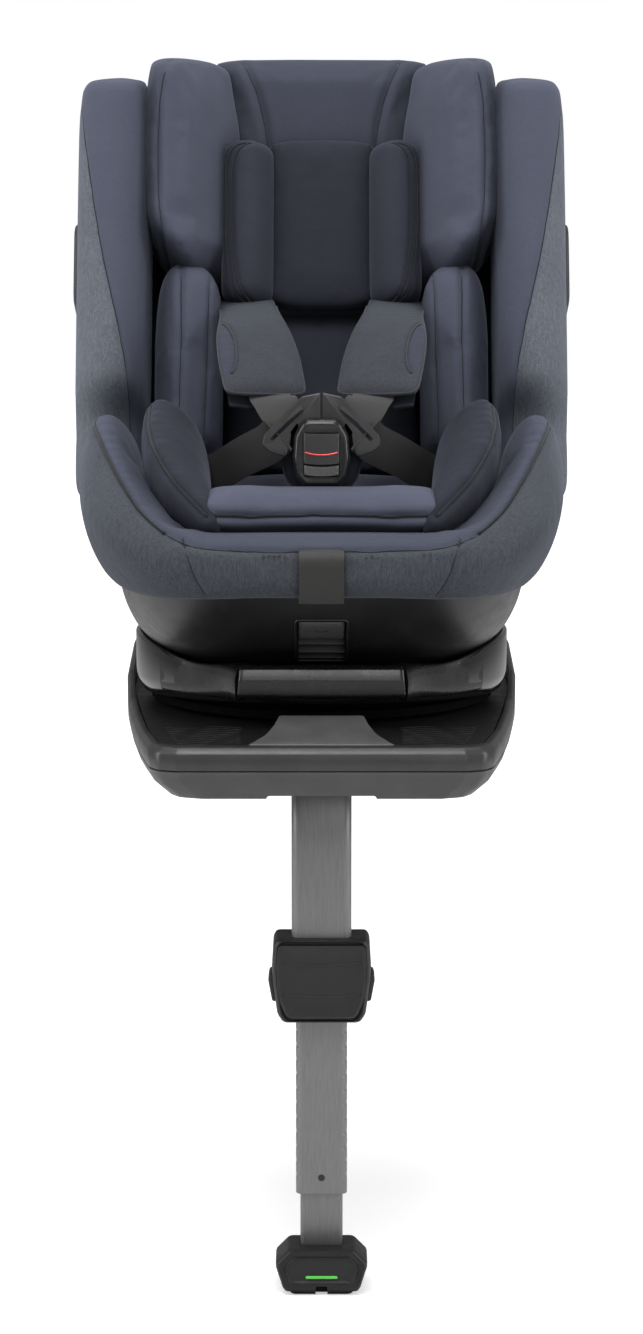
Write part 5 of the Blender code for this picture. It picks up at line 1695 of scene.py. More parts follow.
# Lower cover: front panel and thigh wings in one padded sheet. Each line (x, y, z) runs from the
# middle of the front round to the rear end of the right wing; the lines go round the section.
COVER_LINES = {
    "hem": [
        (0.0, -0.2215, 0.16), (0.045, -0.2215, 0.16), (0.085, -0.2185, 0.159),
        (0.114, -0.208, 0.1575), (0.138, -0.187, 0.156), (0.157, -0.153, 0.155),
        (0.169, -0.113, 0.155), (0.176, -0.065, 0.1575), (0.18, -0.018, 0.162),
        (0.181, 0.025, 0.168)],
    "outer low": [
        (0.0, -0.2365, 0.17), (0.045, -0.2365, 0.17), (0.09, -0.2345, 0.17),
        (0.123, -0.2265, 0.171), (0.15, -0.208, 0.174), (0.172, -0.178, 0.179),
        (0.188, -0.137, 0.185), (0.1975, -0.085, 0.191), (0.201, -0.035, 0.197),
        (0.199, 0.025, 0.202)],
    "outer high": [
        (0.0, -0.24, 0.186), (0.045, -0.24, 0.186), (0.092, -0.239, 0.187),
        (0.128, -0.233, 0.192), (0.158, -0.216, 0.202), (0.182, -0.187, 0.216),
        (0.1975, -0.145, 0.23), (0.2045, -0.095, 0.243), (0.206, -0.045, 0.252),
        (0.203, 0.024, 0.25)],
    "ridge": [
        (0.0, -0.2375, 0.2035), (0.045, -0.2375, 0.2035), (0.092, -0.2345, 0.205),
        (0.122, -0.2215, 0.211), (0.145, -0.198, 0.226), (0.164, -0.165, 0.247),
        (0.18, -0.125, 0.267), (0.191, -0.08, 0.281), (0.197, -0.035, 0.287),
        (0.195, 0.022, 0.283)],
    "top": [
        (0.0, -0.219, 0.208), (0.045, -0.219, 0.208), (0.088, -0.215, 0.2085),
        (0.11, -0.203, 0.212), (0.128, -0.183, 0.225), (0.149, -0.156, 0.247),
        (0.166, -0.12, 0.27), (0.176, -0.079, 0.287), (0.18, -0.037, 0.2935),
        (0.179, 0.014, 0.29)],
    "inner high": [
        (0.0, -0.19, 0.2075), (0.042, -0.19, 0.2075), (0.08, -0.186, 0.2065),
        (0.1, -0.174, 0.206), (0.118, -0.158, 0.208), (0.136, -0.135, 0.22),
        (0.15, -0.106, 0.238), (0.158, -0.073, 0.256), (0.161, -0.037, 0.268),
        (0.16, 0.008, 0.264)],
    "inner low": [
        (0.0, -0.145, 0.2055), (0.04, -0.145, 0.2055), (0.076, -0.145, 0.204),
        (0.096, -0.142, 0.203), (0.112, -0.133, 0.203), (0.126, -0.118, 0.206),
        (0.139, -0.096, 0.212), (0.148, -0.068, 0.22), (0.153, -0.035, 0.226),
        (0.153, 0.008, 0.226)],
    "underside": [
        (0.0, -0.14, 0.174), (0.04, -0.14, 0.174), (0.076, -0.14, 0.1735),
        (0.096, -0.137, 0.173), (0.112, -0.13, 0.1725), (0.126, -0.116, 0.1725),
        (0.14, -0.095, 0.173), (0.15, -0.068, 0.174), (0.155, -0.035, 0.175),
        (0.156, 0.01, 0.176)],
}
COVER_STATIONS = 30
COVER_FRONT_SEAM = [(0.1223, 0.184), (0.1172, 0.164), (0.1103, 0.144), (0.101, 0.131)]


def mirror_line(points):
    """The mirror image of a line, run backwards, without its middle point."""
    return [(-x, y, z) for x, y, z in points[:0:-1]]


def pin_cover(points):
    """Holds the hem and the part under the seat insert."""
    low = 1 - ease(0.158, 0.168, points[:, 2])
    inside = ((np.abs(points[:, 0]) < 0.118) & (points[:, 1] > -0.165)).astype(float)
    return np.maximum(low, inside)


lines = [resample(catmull(line), COVER_STATIONS) for line in COVER_LINES.values()]
half = [[tuple(line[i]) for line in lines] for i in range(COVER_STATIONS)]
full = [[(-x, y, z) for x, y, z in row] for row in half[:0:-1]] + half
rear_end = ((0.93, 0.004), (0.78, 0.0065))      # both ends of the sheet face the rear
rings = close_ends([closed_loop(row, 60) for row in full], rear_end, rear_end)
cover = loft("lower_cover", rings, TWO_CLOTH_SHADED)
puff(cover, voxel=0.0055, pressure=4.0, reach=0.004, pin=pin_cover, smooth=4)

# melange below and outside the ridge, smooth cloth inside it
ridge = resample(catmull(mirror_line(COVER_LINES["ridge"]) + COVER_LINES["ridge"]), 240)
coarse = ridge[::2]
points = coords(cover)
distance = ((points[:, None, :2] - coarse[None, :, :2]) ** 2).sum(2)
distance += 0.5 * (points[:, None, 2] - coarse[None, :, 2]) ** 2
nearest = distance.argmin(1)
near = coarse[nearest]
tangent = np.gradient(coarse, axis=0)[nearest]
outward = np.stack([tangent[:, 1], -tangent[:, 0]], 1)
outward /= np.linalg.norm(outward, axis=1)[:, None] + 1e-9
sideways = ((points - near)[:, :2] * outward).sum(1)
set_zone(cover, 0.62 * sideways + 0.78 * (near[:, 2] - points[:, 2]))

# the ridge is piped along both wings and plainly seamed across the front
ridge_points, ridge_normals = snap(bvh(cover), ridge[4:-4], rounds=4)
front_seams = drape(cover, [COVER_FRONT_SEAM, mirrored(COVER_FRONT_SEAM)])
middle, span = len(ridge_points) // 2, int(len(ridge_points) * 0.17)
left_pipe, lip_seam, right_pipe = (
    (ridge_points[part], ridge_normals[part])
    for part in (slice(0, middle - span), slice(middle - span, middle + span),
                 slice(middle + span, None)))
place(cover, "seat", "heather_fabric", "seat_cushion", "thigh_wing_right", "thigh_wing_left")
dress("lower_cover_edge", cover, "seat", piping=[left_pipe, right_pipe], seams=[lip_seam],
      top=[left_pipe, right_pipe, lip_seam], stitch_off=(0.0042, 0.0062))
dress("lower_cover_front", cover, "seat", seams=front_seams, depth=0.0012, width=0.002,
      slot_name="heather_fabric")

# flat cushion inside the cover
CUSHION_STATIONS = [    # z, scale
    (0.169, 0.985), (0.1705, 0.995), (0.172, 1.0), (0.198, 1.0), (0.203, 0.992), (0.2055, 0.975),
    (0.2066, 0.94), (0.2072, 0.6), (0.2074, 0.2)]
rings = stack(rounded_rect(0.15, 0.113, 0.018, 8), (0, 0), CUSHION_STATIONS,
              lambda x, y, z: (x, -0.03 + y, z + (0.0008 if z > 0.19 else 0)))
place(loft("seat_cushion_top", rings, KNIT), "seat", "navy_knit")

# ---------------------------------------------------------------- seat insert: horns, roll, middle
# Right horn, keyed by y: each (x, z) loop starts at the piped ridge and runs over the inner
# face, the bottom and the outer side.
HORN = {
    -0.006: [(0.139, 0.268), (0.131, 0.272), (0.12, 0.265), (0.112, 0.253), (0.1065, 0.241),
             (0.105, 0.228), (0.108, 0.2145), (0.126, 0.2135), (0.138, 0.23), (0.1415, 0.252)],
    -0.03: [(0.1455, 0.3), (0.137, 0.3045), (0.121, 0.297), (0.1085, 0.281), (0.1015, 0.262),
            (0.099, 0.236), (0.102, 0.213), (0.13, 0.2125), (0.146, 0.25), (0.15, 0.284)],
    -0.058: [(0.1475, 0.306), (0.138, 0.3105), (0.12, 0.302), (0.1065, 0.285), (0.099, 0.264),
             (0.096, 0.237), (0.099, 0.2125), (0.128, 0.212), (0.147, 0.25), (0.152, 0.288)],
    -0.1: [(0.148, 0.292), (0.139, 0.2965), (0.122, 0.289), (0.1075, 0.273), (0.0985, 0.254),
           (0.0955, 0.234), (0.0985, 0.212), (0.128, 0.2115), (0.1465, 0.242), (0.1525, 0.274)],
    -0.14: [(0.1414, 0.276), (0.133, 0.28), (0.118, 0.274), (0.105, 0.26), (0.097, 0.246),
            (0.0945, 0.23), (0.098, 0.2115), (0.124, 0.211), (0.1405, 0.234), (0.1465, 0.259)],
    -0.175: [(0.1255, 0.2545), (0.118, 0.2585), (0.1065, 0.2545), (0.0975, 0.246),
             (0.0925, 0.237), (0.0905, 0.226), (0.0935, 0.211), (0.113, 0.2105), (0.125, 0.223),
             (0.1305, 0.241)],
    -0.196: [(0.1075, 0.2375), (0.101, 0.241), (0.0935, 0.2385), (0.0875, 0.234),
             (0.084, 0.2285), (0.0825, 0.222), (0.085, 0.2105), (0.098, 0.2102),
             (0.1075, 0.216), (0.1115, 0.227)],
    -0.2075: [(0.0965, 0.2265), (0.0925, 0.229), (0.088, 0.2275), (0.0845, 0.225),
              (0.0825, 0.2215), (0.0815, 0.2175), (0.083, 0.211), (0.0905, 0.2105),
              (0.097, 0.2135), (0.0995, 0.2195)],
}
HORN_PIPING = [     # x, y, z
    (0.127, -0.035, 0.306), (0.14, -0.042, 0.309), (0.1475, -0.058, 0.306),
    (0.149, -0.078, 0.3), (0.148, -0.1, 0.292), (0.1414, -0.14, 0.276), (0.1255, -0.175, 0.2545),
    (0.1075, -0.196, 0.2375), (0.0945, -0.2075, 0.2275)]
horn_ys = sorted(HORN)
sections = np.array([HORN[y] for y in horn_ys])
fine_ys = [y for start, end in zip(horn_ys, horn_ys[1:]) for y in np.linspace(start, end, 4)[:-1]]
rings = []
for y in fine_ys + [horn_ys[-1]]:
    section = np.array([[np.interp(y, horn_ys, sections[:, j, c]) for c in (0, 1)]
                        for j in range(sections.shape[1])])
    rings.append(np.array([(x, y, z) for x, z in closed_loop(section, 44)]))
rings = close_ends(rings, ((0.8, -0.0022), (0.45, -0.0034)), ((0.8, 0.0022), (0.45, 0.0034)))
horn = loft("seat_insert_horn_right", rings, KNIT_HORN_SHADED)
puff(horn, voxel=0.0046, pressure=4.5, reach=0.0035, smooth=4)
horn_piping = snap_paths(horn, [HORN_PIPING])
horn_left = mirror_x(horn, "seat_insert_horn_left")

# front roll between the horns
ROLL = [        # y, z
    (-0.2085, 0.2235), (-0.207, 0.2165), (-0.199, 0.214), (-0.15, 0.2086), (-0.142, 0.212),
    (-0.14, 0.222), (-0.145, 0.233), (-0.158, 0.2415), (-0.175, 0.2425), (-0.194, 0.2385),
    (-0.205, 0.232)]
ROLL_HALF = 0.098
ROLL_PIPING = [(-0.101, 0.2055), (-0.0968, 0.2029), (-0.0626, 0.2016), (-0.032, 0.2025),
               (0.0, 0.2035), (0.032, 0.2025), (0.0626, 0.2016), (0.0968, 0.2029),
               (0.101, 0.2055)]
outline, roll_centre = closed_loop(ROLL, 44), np.array([-0.176, 0.223])
rings = []
for x in np.linspace(-ROLL_HALF, ROLL_HALF, 30):
    outwards = abs(x) / ROLL_HALF
    end = max(0.55, dome((outwards - 0.92) / 0.08, 2.4))
    ring = roll_centre + (outline - roll_centre) * np.array([0.75 + 0.25 * end, end])
    swell = 0.0025 * ease(0.35, 0.85, outwards) * (ring[:, 1] > 0.228)
    rings.append([(x, y, z + up) for (y, z), up in zip(ring, swell)])
roll = loft("seat_insert_roll", rings, KNIT_BODY_LIT)
puff(roll, voxel=0.0046, pressure=4.5, reach=0.0035, smooth=4)
roll_piping = drape(roll, [ROLL_PIPING])

INSERT_MIDDLE = [       # x, z
    (-0.096, 0.212), (-0.06, 0.2086), (0.0, 0.2084), (0.06, 0.2086), (0.096, 0.212),
    (0.097, 0.222), (0.08, 0.23), (0.04, 0.233), (0.0, 0.2335), (-0.04, 0.233), (-0.08, 0.23),
    (-0.097, 0.222)]
INSERT_STATIONS = [     # y, scale
    (-0.15, 0.7), (-0.148, 0.88), (-0.144, 0.97), (-0.138, 1.0), (-0.01, 1.0), (0.025, 1.0),
    (0.05, 0.97), (0.054, 0.85)]
rings = stack(closed_loop(INSERT_MIDDLE, 60), (0, 0.2185), INSERT_STATIONS, along_y)
insert_middle = loft("seat_insert_middle", rings, KNIT_DEEP_SHADE)
puff(insert_middle, voxel=0.0052, pressure=3.0, reach=0.002)
place(insert_middle, "seat", "navy_knit", "seat_insert")
place(roll, "seat", "navy_knit")
dress("seat_insert_roll_edge", roll, "seat", piping=roll_piping, depth=0.0022, width=0.003)
finish_pair(horn, horn_left, "seat", "navy_knit", None, "seat_insert_horn_%s_edge",
            piping=horn_piping, stitch=0.0036, depth=0.0022, width=0.003)


# ================================================================== HARNESS
WEB_WIDTH, WEB_THICK = 0.038, 0.0015

# ---------------------------------------------------------------- shoulder pads
PAD_TOP, PAD_LOW = back_point(0.0675, 0.176, 0.034), Vector((0.047, -0.09, 0.316))
PAD_WIDTH, PAD_THICK = 0.071, 0.0125
PAD_STATIONS = 34


def pad_frames():
    """Middle line of the right pad and its directions: along it, across it, out of its face."""
    middle = (PAD_TOP + PAD_LOW) / 2 + Vector((0.0015, -0.008, 0.013))
    line = resample(catmull([PAD_TOP, middle, PAD_LOW], 12), PAD_STATIONS)
    along = np.gradient(line, axis=0)
    along /= np.linalg.norm(along, axis=1)[:, None]
    across = []
    for i, forward in enumerate(along):
        t = i / PAD_STATIONS
        side = np.array([1.0, -0.3 - 0.1 * t, -0.12 + 0.2 * t])
        side -= forward * (side @ forward)
        across.append(side / np.linalg.norm(side))
    across = np.array(across)
    face = np.cross(along, across)
    if face[PAD_STATIONS // 2][1] > 0:
        face = -face
    return line, along, across, face


PAD_LINE, PAD_ALONG, PAD_ACROSS, PAD_FACE = pad_frames()


def pad_half(u):
    """Half width of the pad, u from 0 at the top to 1 at the bottom."""
    return PAD_WIDTH / 2 * (0.7 + 0.3 * ease(0.15, 0.8, u))


def lens_half(u):
    """Where the lens-shaped side panel begins, from the middle line."""
    return PAD_WIDTH / 2 - 0.015 * np.sqrt(np.clip(1 - ((u - 0.68) / 0.25) ** 2, 0, 1))


def pad_point(u, sideways):
    j = u * (PAD_STATIONS - 1)
    i = int(j)
    t = j - i
    after = min(i + 1, PAD_STATIONS - 1)
    return PAD_LINE[i] * (1 - t) + PAD_LINE[after] * t + PAD_ACROSS[i] * sideways


rings = []
for i in range(PAD_STATIONS):
    u = i / (PAD_STATIONS - 1)
    thin = 0.06 + 0.94 * dome((u - 0.9) / 0.1, 2.6)
    half = pad_half(u) * (0.92 + 0.08 * dome((u - 0.93) / 0.07, 2))
    ring = []
    for k in range(36):
        a = 2 * math.pi * k / 36
        x = half * signed_pow(math.cos(a), 0.62)
        t = PAD_THICK / 2 * signed_pow(math.sin(a), 0.8) * thin
        # the lower edge slopes down to the outside
        slope = 0.0085 * (x / half) * ease(0.6, 1.0, u)
        ring.append(PAD_LINE[i] + PAD_ACROSS[i] * x + PAD_FACE[i] * t + PAD_ALONG[i] * slope)
    rings.append(ring)
pad = loft("shoulder_cover_right", rings, TWO_PAD_SHADED)
subsurf(pad)
points = coords(pad)
nearest = ((points[:, None, :] - PAD_LINE[None]) ** 2).sum(2).argmin(1)
offset = points - PAD_LINE[nearest]
sideways = (offset * PAD_ACROSS[nearest]).sum(1)
facing = (offset * PAD_FACE[nearest]).sum(1) > -0.001
set_zone(pad, np.where(facing, lens_half(nearest / (PAD_STATIONS - 1)) - sideways, 0.01))

lens_path = []
for u in np.linspace(0.46, 0.91, 26):
    lens_path.append(pad_point(u, lens_half(u)) + PAD_FACE[int(u * (PAD_STATIONS - 1))] * 0.006)
edge_path = [pad_point(u, pad_half(u)) for u in np.linspace(0.12, 0.93, 40)]
for t in np.linspace(0, 1, 12):
    x = PAD_WIDTH / 2 * (1 - 2 * t)
    edge_path.append(PAD_LINE[-1] + PAD_ACROSS[-1] * x * 0.94
                     + PAD_ALONG[-1] * (0.001 + 0.0085 * x / (PAD_WIDTH / 2)))
edge_path += [pad_point(u, -pad_half(u)) for u in np.linspace(0.93, 0.12, 40)]
lens = snap_paths(pad, [lens_path], 0.002)[0][0]
edge = snap_paths(pad, [edge_path], 0.002)
groove(pad, [lens], width=0.0016, depth=0.001)
# a second layer shows below the pad's lower edge
under_end = PAD_LINE[33] - PAD_FACE[33] * 0.0115
under_path = [PAD_LINE[16] - PAD_FACE[16] * 0.0085, PAD_LINE[24] - PAD_FACE[24] * 0.0095,
              under_end + PAD_ALONG[33] * 0.006]
under = ribbon("shoulder_cover_under_right", under_path, PAD_ACROSS[30], 0.06, KNIT_INSERT_SHADED, 0.003,
               seg=10)
binding = cords("shoulder_binding_right", lifted(edge, 0.0002), 0.0013, BINDING)
lens_cord = cords("shoulder_lens_right", [lens], 0.0007, BINDING, res=2)
under_edge = [under_end + PAD_ALONG[33] * 0.0062 + PAD_ACROSS[33] * x
              for x in np.linspace(-0.029, 0.029, 14)]
under_binding = cords("shoulder_under_binding_right", [under_edge], 0.0016, KNIT_INSERT_SHADED)
for name, right in (("shoulder_cover", pad), ("shoulder_cover_under", under),
                    ("shoulder_binding", binding), ("shoulder_lens", lens_cord),
                    ("shoulder_under_binding", under_binding)):
    left = mirror_x(right, name + "_left")
    for side, obj in (("right", right), ("left", left)):
        if name == "shoulder_cover":
            place(obj, "headrest", "heather_fabric", "shoulder_pad_" + side)
        else:
            place(obj, "headrest", "navy_knit")

# ---------------------------------------------------------------- shoulder and hip straps
# Right side, as (path, across) points. The low length turns from the tongue's slot to the pad.
LOW_PATH = [(0.0285, -0.156, 0.2985), (0.03, -0.152, 0.3015), (0.0345, -0.14, 0.3075),
            (0.039, -0.12, 0.312), (0.043, -0.098, 0.3135), (0.0445, -0.08, 0.315)]
LOW_ACROSS = [(0.62, 0.0, -0.78), (0.66, 0.02, -0.74), (0.8, -0.04, -0.55),
              (0.92, -0.12, -0.3), (0.97, -0.2, -0.12), (0.97, -0.25, -0.08)]
# The high length runs on under the pad and through the back.
HIGH_PATH = [(0.044, -0.086, 0.3142), (0.045, -0.076, 0.316)]
HIGH_PATH += [PAD_LINE[i] - PAD_FACE[i] * 0.0074 for i in (26, 20, 14, 8, 3, 0)]
HIGH_PATH += [back_point(0.06, 0.176, 0.02), back_point(0.048, 0.196, 0.004),
              back_point(0.047, 0.206, -0.012)]
HIGH_ACROSS = [(0.97, -0.25, -0.08)] * 4 + [(0.97, -0.2, 0.0)] * 7
HIP_PATH = [(0.036, -0.1545, 0.288), (0.0375, -0.15, 0.2855), (0.047, -0.136, 0.277),
            (0.066, -0.108, 0.265), (0.086, -0.074, 0.25), (0.101, -0.04, 0.239),
            (0.112, -0.01, 0.235)]
HIP_ACROSS = [(0.62, 0.0, 0.78), (0.55, 0.05, 0.83), (0.38, 0.16, 0.91), (0.28, 0.22, 0.93),
              (0.25, 0.22, 0.93), (0.22, 0.18, 0.95), (0.2, 0.1, 0.97)]
for side, sign in SIDES:
    def flip(point):
        return (sign * point[0], point[1], point[2])

    def strap(name, path, across, width):
        return ribbon(name, [flip(p) for p in path], [flip(p) for p in across], width, WEB,
                      WEB_THICK)

    low = strap("shoulder_strap_low_" + side, LOW_PATH, LOW_ACROSS, WEB_WIDTH * 0.92)
    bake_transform(low)
    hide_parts("shoulder_strap_" + side)
    high = strap("shoulder_strap_high_" + side, HIGH_PATH, HIGH_ACROSS, WEB_WIDTH * 0.92)
    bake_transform(high)
    hip = strap("hip_strap_" + side + "_web", HIP_PATH, HIP_ACROSS, WEB_WIDTH * 0.9)
    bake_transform(hip)
    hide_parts("hip_strap_" + side)

# ---------------------------------------------------------------- buckle
BUCKLE = rounded([      # x, z, corner radius
    (-0.015, 0.244, 0.006), (0.015, 0.244, 0.006), (0.0218, 0.252, 0.008), (0.0243, 0.268, 0.02),
    (0.0228, 0.288, 0.012), (0.015, 0.302, 0.01), (-0.015, 0.302, 0.01), (-0.0228, 0.288, 0.012),
    (-0.0243, 0.268, 0.02), (-0.0218, 0.252, 0.008)], per=6)
BUCKLE_STATIONS = [     # y, scale
    (-0.1375, 0.9), (-0.1385, 0.955), (-0.141, 0.985), (-0.146, 1.0), (-0.156, 0.995),
    (-0.16, 0.965), (-0.1625, 0.915), (-0.1638, 0.86), (-0.164, 0.82), (-0.1636, 0.78)]
TONGUE_SLOT = [(-0.019, 0.279), (0.019, 0.279), (0.019, 0.32), (-0.019, 0.32)]
BUTTON_WELL = [(-0.015, 0.2535), (0.015, 0.2535), (0.0158, 0.2905), (-0.0158, 0.2905)]
rings = stack(BUCKLE, (0.0, 0.2735), BUCKLE_STATIONS, along_y)
buckle = loft("buckle_case", rings, CASE_BLACK)
cut(buckle, plate("cut", TONGUE_SLOT, along_y, -0.1562, -0.1498, BUCKLE_GREY))
cut(buckle, plate("cut", rounded(BUTTON_WELL, 0.0022, 5), along_y, -0.2, -0.1566, BUCKLE_GREY))
crease(buckle, 40)
arch = [(0.018 * math.cos(t), -0.163 + 0.002 * abs(math.cos(t)) ** 3,
         0.279 + 0.0185 * math.sin(t))
        for t in np.linspace(math.radians(8), math.radians(172), 30)]
arch = cords("buckle_arch", [arch], 0.0006, BUCKLE_GREY, res=2)
buckle = join([buckle, arch], "buckle_case")
place(buckle, "seat", "buckle_plastic", "buckle_body")


def curved_button(name, half_w, z0, z1, face_y, bulge, mat, top_arc, low_arc, rows=9):
    """A button face: crowned across, with round edges and arched upper and lower ends."""
    cols, depth = 15, 0.0036
    rings = []
    for j in range(rows + 4):
        v = min(max(j - 2, 0), rows - 1) / (rows - 1)
        row = []
        for i in range(cols + 4):
            u = -1 + 2 * min(max(i - 2, 0), cols - 1) / (cols - 1)
            x = u * half_w
            z = (z0 - low_arc * (1 - u * u)) * (1 - v) + (z1 + top_arc * (1 - u * u)) * v
            y = face_y - bulge * (1 - u * u)
            if i in (0, cols + 3) or j in (0, rows + 3):
                y = face_y + depth
            elif i in (1, cols + 2) or j in (1, rows + 2):
                y += 0.0007
            if i in (2, cols + 1):
                x -= math.copysign(0.0004, u)
            if j == 2:
                z += 0.0004
            if j == rows + 1:
                z -= 0.0004
            row.append((x, y, z))
        rings.append(row)
    return crease(loft(name, rings, mat, closed=False), 55)


PUSH_HALF, PUSH_Y, PUSH_BULGE = 0.0148, -0.1646, 0.001
push = curved_button("buckle_push", PUSH_HALF, 0.2648, 0.2898, PUSH_Y, PUSH_BULGE, BUCKLE_GREY,
                     top_arc=-0.0004, low_arc=0.0012)
place(push, "buckle_button", "red_button", "buckle_button")
push_foot = curved_button("buckle_push_foot", 0.0143, 0.2553, 0.2632, -0.165, 0.0012,
                          BUCKLE_SATIN, top_arc=-0.0012, low_arc=0.0012, rows=5)
place(push_foot, "buckle_button", "buckle_plastic")
line = [(x, PUSH_Y - PUSH_BULGE * (1 - (x / PUSH_HALF) ** 2) - 0.0001,
         0.2742 - 0.0022 * (1 - (x / 0.0138) ** 2)) for x in np.linspace(-0.0136, 0.0136, 24)]
line = cords("buckle_press_line", [line], 0.00075, RED_LINE, res=2)
place(line, "buckle_button", "red_button")

# tongues: one plate each side, meeting at x = 0, with a slanting strap slot
MEETING_X = 0.0007
TONGUE = rounded([      # x, z, corner radius
    (MEETING_X, 0.2795, 0.001), (0.0183, 0.2795, 0.001), (0.0192, 0.3, 0.004),
    (0.0252, 0.29, 0.006), (0.0268, 0.277, 0.005), (0.03, 0.269, 0.003), (0.043, 0.2735, 0.006),
    (0.0495, 0.279, 0.005), (0.048, 0.287, 0.006), (0.036, 0.3, 0.02), (0.0165, 0.3195, 0.008),
    (MEETING_X, 0.3228, 0.001)], per=5)
TONGUE_STATIONS = [(-0.151, 0.965), (-0.1516, 0.99), (-0.1524, 1.0), (-0.154, 1.0),
                   (-0.155, 0.985), (-0.1555, 0.96)]
STRAP_SLOT = [(0.0168, 0.3105), (0.043, 0.2845), (0.0408, 0.2822), (0.0146, 0.3082)]
rings = stack(TONGUE, (0.023, 0.296), TONGUE_STATIONS, lambda x, z, y: (max(MEETING_X, x), y, z))
tongue = loft("tongue_plate_right", rings, BUCKLE_GREY)
cut(tongue, plate("cut", rounded(STRAP_SLOT, 0.0012), along_y, -0.18, -0.13, BUCKLE_GREY))
crease(tongue, 40)
for side, obj in (("right", tongue), ("left", mirror_x(tongue, "tongue_plate_left"))):
    place(obj, "tongue_" + side, "buckle_plastic", "buckle_tongue_" + side)

# ---------------------------------------------------------------- crotch pad and strap
CROTCH_STATIONS = [     # z, half width, thickness scale
    (0.2375, 0.015, 0.3), (0.239, 0.02, 0.7), (0.243, 0.0262, 1.0), (0.25, 0.031, 1.1),
    (0.259, 0.0335, 1.1), (0.269, 0.0345, 1.0), (0.279, 0.035, 0.9), (0.285, 0.0345, 0.7),
    (0.2875, 0.033, 0.4)]
rings = []
for z, half, thickness in CROTCH_STATIONS:
    ring = []
    for t in turn(40):
        across, out = math.cos(t), math.sin(t)
        y = -0.1335 + 0.0042 * thickness * signed_pow(out, 0.9)
        y -= 0.024 * (0.2875 - z) + 0.002 * abs(across) ** 4
        ring.append((half * signed_pow(across, 0.7), y, z))
    rings.append(ring)
crotch = loft("crotch_cover", rings, KNIT)
subsurf(crotch)
place(crotch, "seat", "navy_knit", "crotch_pad")
CROTCH_EDGE = [(0.0345, -0.139, 0.286), (0.033, -0.139, 0.27), (0.031, -0.14, 0.254),
               (0.024, -0.14, 0.243), (0.012, -0.141, 0.2395)]
crotch_path = CROTCH_EDGE + [(0.0, -0.141, 0.2388)] + both_halves(CROTCH_EDGE)[5:]
edge = snap_paths(crotch, [crotch_path], 0.002)
place(cords("crotch_binding", lifted(edge, 0.0001), 0.0011, BINDING), "seat", "navy_knit")
crotch_web = ribbon("crotch_web", [(0, -0.1284, z) for z in (0.2092, 0.23, 0.26, 0.28)],
                    (1, 0, 0), WEB_WIDTH, WEB, WEB_THICK)
place(crotch_web, "seat", "webbing", "crotch_strap")

# ---------------------------------------------------------------- adjuster strap and lever
ADJUSTER_PATH = [       # y, z: over the front edge and down
    (-0.224, 0.2), (-0.23, 0.2005), (-0.236, 0.2), (-0.2405, 0.1975), (-0.2432, 0.1925),
    (-0.244, 0.185), (-0.2425, 0.174), (-0.24, 0.166), (-0.2375, 0.16), (-0.2365, 0.1578)]
adjuster = ribbon("adjuster_web", [(0, y, z) for y, z in ADJUSTER_PATH], (1, 0, 0),
                  WEB_WIDTH * 0.97, WEB, 0.0017, per=7)
place(adjuster, "seat", "webbing", "adjuster_strap")
LEVER = [(-0.1965, 0.1915, 0.001), (-0.2255, 0.1935, 0.001), (-0.2268, 0.1968, 0.0015),
         (-0.2, 0.2008, 0.002), (-0.1955, 0.199, 0.0015)]       # y, z, corner radius
lever = plate("adjuster_lever", LEVER, along_x, -0.0168, 0.0168, CONN_BLACK, 0.0008)
place(lever, "harness_adjuster", "black_plastic", "harness_adjuster")


# ================================================================== BACK SHELL AND SIDE PODS
SHELL_HALF = [      # x, n from the right edge to the middle
    (0.205, 0.019), (0.2052, 0.0), (0.2045, -0.02), (0.2, -0.0345), (0.188, -0.045),
    (0.167, -0.052), (0.125, -0.056), (0.08, -0.059), (0.04, -0.06), (0.0, -0.0603)]
SHELL_THICK = 0.0035
SHELL_CREST = -0.036        # only what stands behind this n flattens at the top and bottom
outline = resample(catmull(SHELL_HALF + mirrored(SHELL_HALF[-2::-1]), 6), 90)
rings = []
for s in [*np.linspace(-0.02, 0.0, 9), *np.linspace(0.01, 0.345, 24),
          *np.linspace(0.35, 0.3715, 11)]:
    top = dome((s - 0.352) / 0.02, 2.2)
    narrow = 1 - 0.1 * (1 - top)
    depth = 0.35 + 0.65 * min(top, dome((-0.002 - s) / 0.018, 2.2))

    def shell_point(x, n):
        return back_point(x, s, SHELL_CREST + (n - SHELL_CREST) * depth if n < SHELL_CREST else n)

    outside = [shell_point(x * narrow, n) for x, n in outline]
    inside = [shell_point(x * narrow * (1 - SHELL_THICK / 0.205),
                          n + SHELL_THICK if n < 0.0 else n) for x, n in outline[::-1]]
    rings.append(outside + inside)
shell = crease(loft("rear_shell", rings, SHELL_GREY), 50)
place(shell, "seat", "grey_plastic", "back_shell")
shell_tree = bvh(shell)


def on_rear_face(pts):
    """Carries (x, s) points onto the rear face of the back shell, sunk a little."""
    out = []
    for x, s in pts:
        hit = shell_tree.ray_cast(back_point(x, s, -0.3), OUT_OF_BACK)
        if hit[0] is not None:
            out.append(hit[0] + hit[1] * -0.0002)
    return out


paths = [on_rear_face([(x, s) for s in np.linspace(0.02 + abs(x) * 0.15, 0.335 - abs(x) * 0.2, 46)])
         for x in (-0.135, -0.105, -0.075, 0.075, 0.105, 0.135)]
frame_path = on_rear_face([(0.165 * signed_pow(math.cos(t), 0.5),
                            0.178 + 0.15 * signed_pow(math.sin(t), 0.5)) for t in turn(120)])
shell_ribs = cords("rear_shell_ribs", paths, 0.0016, SHELL_GREY)
shell_frame = cords("rear_shell_frame", [frame_path], 0.0013, SHELL_GREY, closed=True)
place(shell_ribs, "seat", "grey_plastic")
place(shell_frame, "seat", "grey_plastic")

